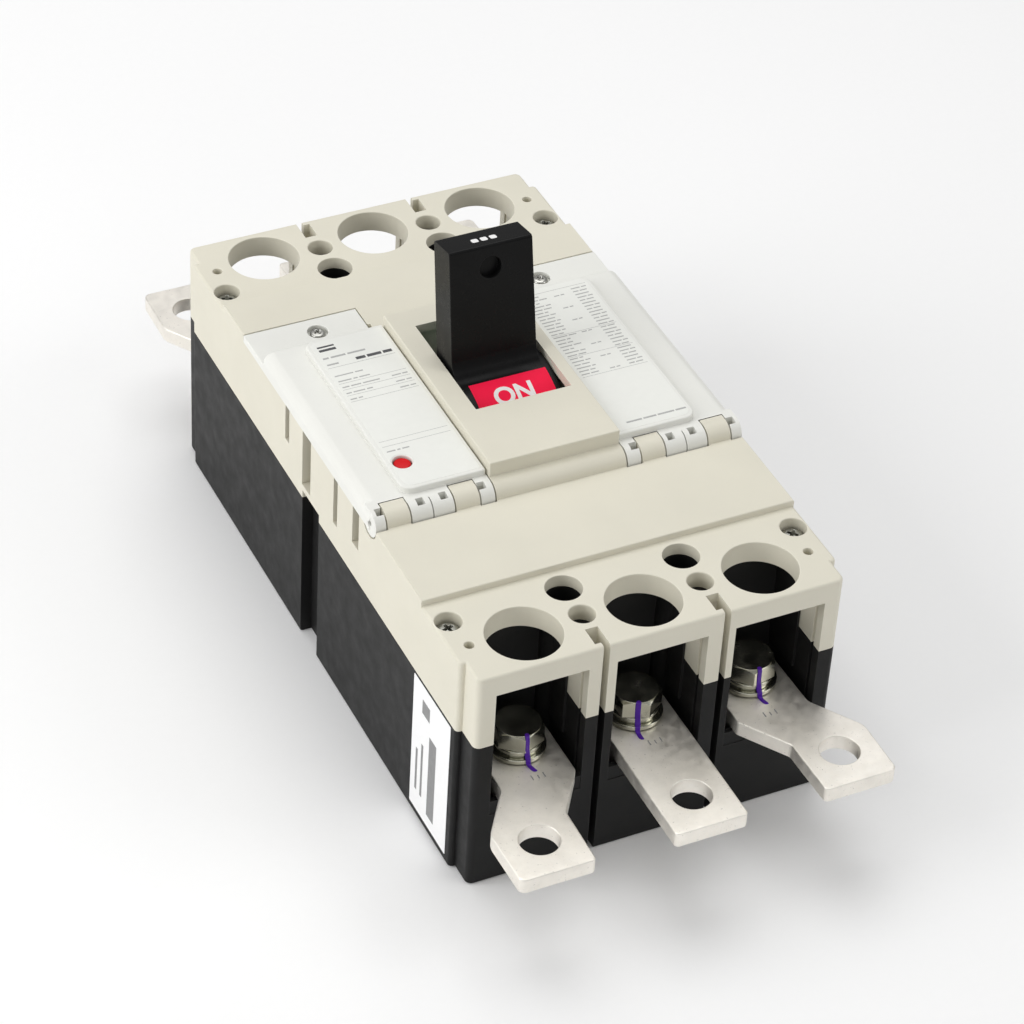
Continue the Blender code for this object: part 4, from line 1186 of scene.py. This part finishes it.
def washer(x, y, inner, outer, low, high, fillet, sides=64):
    """A flat ring with rounded rims."""
    bm = bmesh.new()
    loops = []
    for k in range(sides):
        across, along = cos(TAU * k / sides), sin(TAU * k / sides)
        loops.append([
            bm.verts.new(mm(x + r * across, y + r * along, z))
            for r, z in rectangle((inner, low), (outer, high), fillet, 3)
        ])
    wrap(bm, loops + loops[:1])
    outward(bm)
    return shape_of(bm)


def make_washers(node, x, y, low, high, turn):
    flat_top = low + 1.7
    flat = washer(x, y, 5.3, 10.1, low, flat_top, 0.35)
    split = washer(x, y, 5.2, 8.7, flat_top + 0.05, high - 0.08, 0.45)
    gap = box((4.0, 12), (-0.5, 0.5), (low - 2, high + 2))
    turn_about(gap, (0, 0, 0), SPLIT_SLANT)
    lift = (1 - cos(radians(SPLIT_SLANT))) * (low + high) / 2
    turn_and_move(gap, turn * 3 + 200, x, y, lift)
    made(split, cuts=[gap])
    for obj, kind in ((flat, "flat"), (split, "spring")):
        shade(obj, 50)
        piece(obj, f"{node}_{kind}_washer", BODY_OF[node], NICKEL)


def make_torque_mark(node, x, y, heading, turn):
    """A brushed stripe of paint down the head, over the washers and onto the bar."""
    top, bar = node_heights(node)[1], BAR_TOP
    under = top - HEAD_TALL
    off = (heading - turn) % 60 - 30
    lean = radians(off)
    face = HEX_CORNER * cos(radians(30)) / cos(lean)
    rim = top - 0.2 - max(0.0, face - CHAMFER_R) * 0.62
    # reach from the bolt's axis, height, half width, sideways sway
    rows = (
        (6.7, top + 0.05, 0.8, 0.2), (7.5, top + 0.1, 1.2, 0.1),
        (min(face, CHAMFER_R) + 0.2, top + 0.2, 1.4, 0.0), (face + 0.3, rim + 0.15, 1.45, -0.1),
        (face + 0.1, under + 0.3, 1.4, 0.0), (8.85, under - 0.3, 1.45, 0.1),
        (8.9, bar + 2.4, 1.45, 0.2), (10.2, bar + 2.2, 1.4, 0.1), (10.35, bar + 1.0, 1.35, 0.0),
        (10.5, bar + 0.12, 1.2, 0.15), (11.8, bar + 0.1, 1.2, 0.5), (13.2, bar + 0.1, 1.35, 0.9),
        (14.2, bar + 0.08, 1.1, 1.4),
    )
    bm = bmesh.new()
    loops = []
    for k, (reach, z, wide, sway) in enumerate(rows):
        skew = lean if 1 < k < 5 else 0.0
        loop = []
        for across, sink in ((-wide, 0.0), (0.0, -0.14), (wide, 0.0), (0.0, 0.35)):
            out = reach - sink * 0.8 + across * sin(skew)
            aside = across * cos(skew) + sway
            loop.append(bm.verts.new(mm(out, aside, z - sink * 0.5)))
        loops.append(loop)
    wrap(bm, loops)
    bm.faces.new(loops[0])
    bm.faces.new(loops[-1])
    outward(bm)
    mark = turn_and_move(shape_of(bm), heading, x, y)
    curve = mark.modifiers.new("smooth", "SUBSURF")
    curve.levels = curve.render_levels = 2
    settle(mark)
    shade(mark, 80)
    piece(mark, node + "_torque_mark", BODY_OF[node], PURPLE)


def make_terminals():
    for pole, x in POLES.items():
        for label, end in (("load", -1), ("line", 1)):
            make_bar(f"terminal_bar_{label}_{pole}", x, end)
            node, y = f"terminal_bolt_{label}_{pole}", end * TERMINAL_Y
            turn = BOLT_TURNS[pole] + (0 if end < 0 else 17)
            make_bolt(node, x, y, turn)
            make_torque_mark(node, x, y, MARK_HEADINGS[pole] * -end, turn)
    strokes = []
    for x, y in ((-46.1, -130.0), (-2.1, -129.6), (40.7, -132.0)):
        for k, length in enumerate((2.3, 1.7, 2.3)):
            strokes.append(rule(x + 2.2 * k, y, 0.4, length, BAR_TOP))
    ink_piece("bar_stamps", strokes, "case", GREY_INK)


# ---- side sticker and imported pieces


def make_sticker():
    """A sticker on the left side, with generic bars only."""
    side = -HALF_WIDTH
    paper = slab(rectangle((-114.6, 3.0), (-85.2, 62.0), 0.5), "YZ", side - 0.09, side + 0.02)
    piece(paper, "side_sticker", "case", PAPER)
    # y, z, width and height of each bar
    sizes = (
        (-104.6, 8.0, 5.6, 36.0), (-94.6, 12.0, 1.5, 24.0),
        (-90.4, 12.0, 1.5, 19.0), (-98.6, 50.0, 6.0, 6.0),
    )
    bars = [((side - 0.13, y, z), (side - 0.07, y + w, z + h)) for y, z, w, h in sizes]
    ink_piece("side_sticker_print", bars, "case", GREY_INK)


def finish_packed(prefixes, look, width=0.25):
    """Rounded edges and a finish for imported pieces, whose mesh stays."""
    for name, obj in frame["nodes"].items():
        if obj.hide_render or not name.startswith(prefixes):
            continue
        obj.modifiers.new("weld", "WELD").merge_threshold = 1e-6
        edge_rounding(obj, width, 2, 35)
        for slot in obj.material_slots:
            slot.material = look


def finish_mechanism():
    plates = ("mechanism_plate", "cradle", "upper_link", "lower_link", "latch", "handle_arm")
    finish_packed(plates + ("magnet_yoke", "bimetal"), STEEL)
    finish_packed(("toggle_pin", "hinge_pin"), ZINC, 0.15)
    finish_packed(("crossbar", "trip_bar"), CROSSBAR_LOOK)
    finish_packed(("moving_contact", "braid"), COPPER)
    finish_packed(("line_conductor", "load_conductor"), TIN)
    finish_packed(("arc_chute",), CHUTE, 0.15)


# ---- studio


def area_light(name, place, size, power, target=(0, 0, 0.05)):
    data = bpy.data.lights.new(name, "AREA")
    data.shape = "RECTANGLE"
    data.size, data.size_y = size
    data.energy = power
    lamp = linked(name, data)
    lamp.location = place
    aim = Vector(target) - Vector(place)
    lamp.rotation_euler = aim.to_track_quat("-Z", "Y").to_euler()


def make_studio():
    floor = slab(rectangle((-4000, -4000), (4000, 4000)), "XY", -12.0, -0.2)
    floor.name = "studio_floor"
    floor.data.materials.append(painted("floor_paper", grey(0.97), 0.85, 0.004))
    world = bpy.data.worlds.new("studio")
    SCENE.world = world
    world.use_nodes = True
    background = world.node_tree.nodes["Background"]
    background.inputs["Color"].default_value = (1.0, 1.0, 1.0, 1.0)
    background.inputs["Strength"].default_value = 0.34
    area_light("top_softbox", (0.1, 0.5, 1.45), (1.3, 1.3), 10.7)
    area_light("left_softbox", (-1.4, 0.1, 0.75), (1.0, 1.2), 13.2)
    area_light("right_fill", (1.2, -0.9, 1.1), (0.8, 0.8), 5.6)
    area_light("front_strip", (-0.35, -1.7, 0.75), (0.9, 0.25), 2.0, (0, -0.1, 0.06))
    view = SCENE.view_settings
    view.view_transform = "Standard"
    view.look = "None"


def make_camera():
    """Camera at the picture's view, from the front left and above."""
    azimuth, elevation, roll = (radians(v) for v in (-25.906, 39.534, 2.58))
    target, distance = mm(-32.4, -15.8, 73.8), 1296.3 * MM
    level = cos(elevation)
    back = Vector((sin(azimuth) * level, -cos(azimuth) * level, sin(elevation)))
    across = Vector((0, 0, 1)).cross(back).normalized()
    up = back.cross(across)
    right = across * cos(roll) + up * sin(roll)
    top = -across * sin(roll) + up * cos(roll)
    data = bpy.data.cameras.new("camera")
    data.sensor_width = 36.0
    data.lens = 130.03
    data.shift_x, data.shift_y = 0.0771, -0.0152
    data.clip_start, data.clip_end = 0.05, 20.0
    camera = linked("camera", data)
    turn = Matrix((right, top, back)).transposed().to_4x4()
    camera.matrix_world = Matrix.Translation(target + back * distance) @ turn
    SCENE.camera = camera


make_base()
make_cover()
make_lid("left", -1)
make_lid("right", 1)
print_left_label()
print_right_label()
make_handle()
make_handle_marks()
make_screws()
make_button()
make_springs()
make_terminals()
make_sticker()
finish_mechanism()
make_studio()
make_camera()
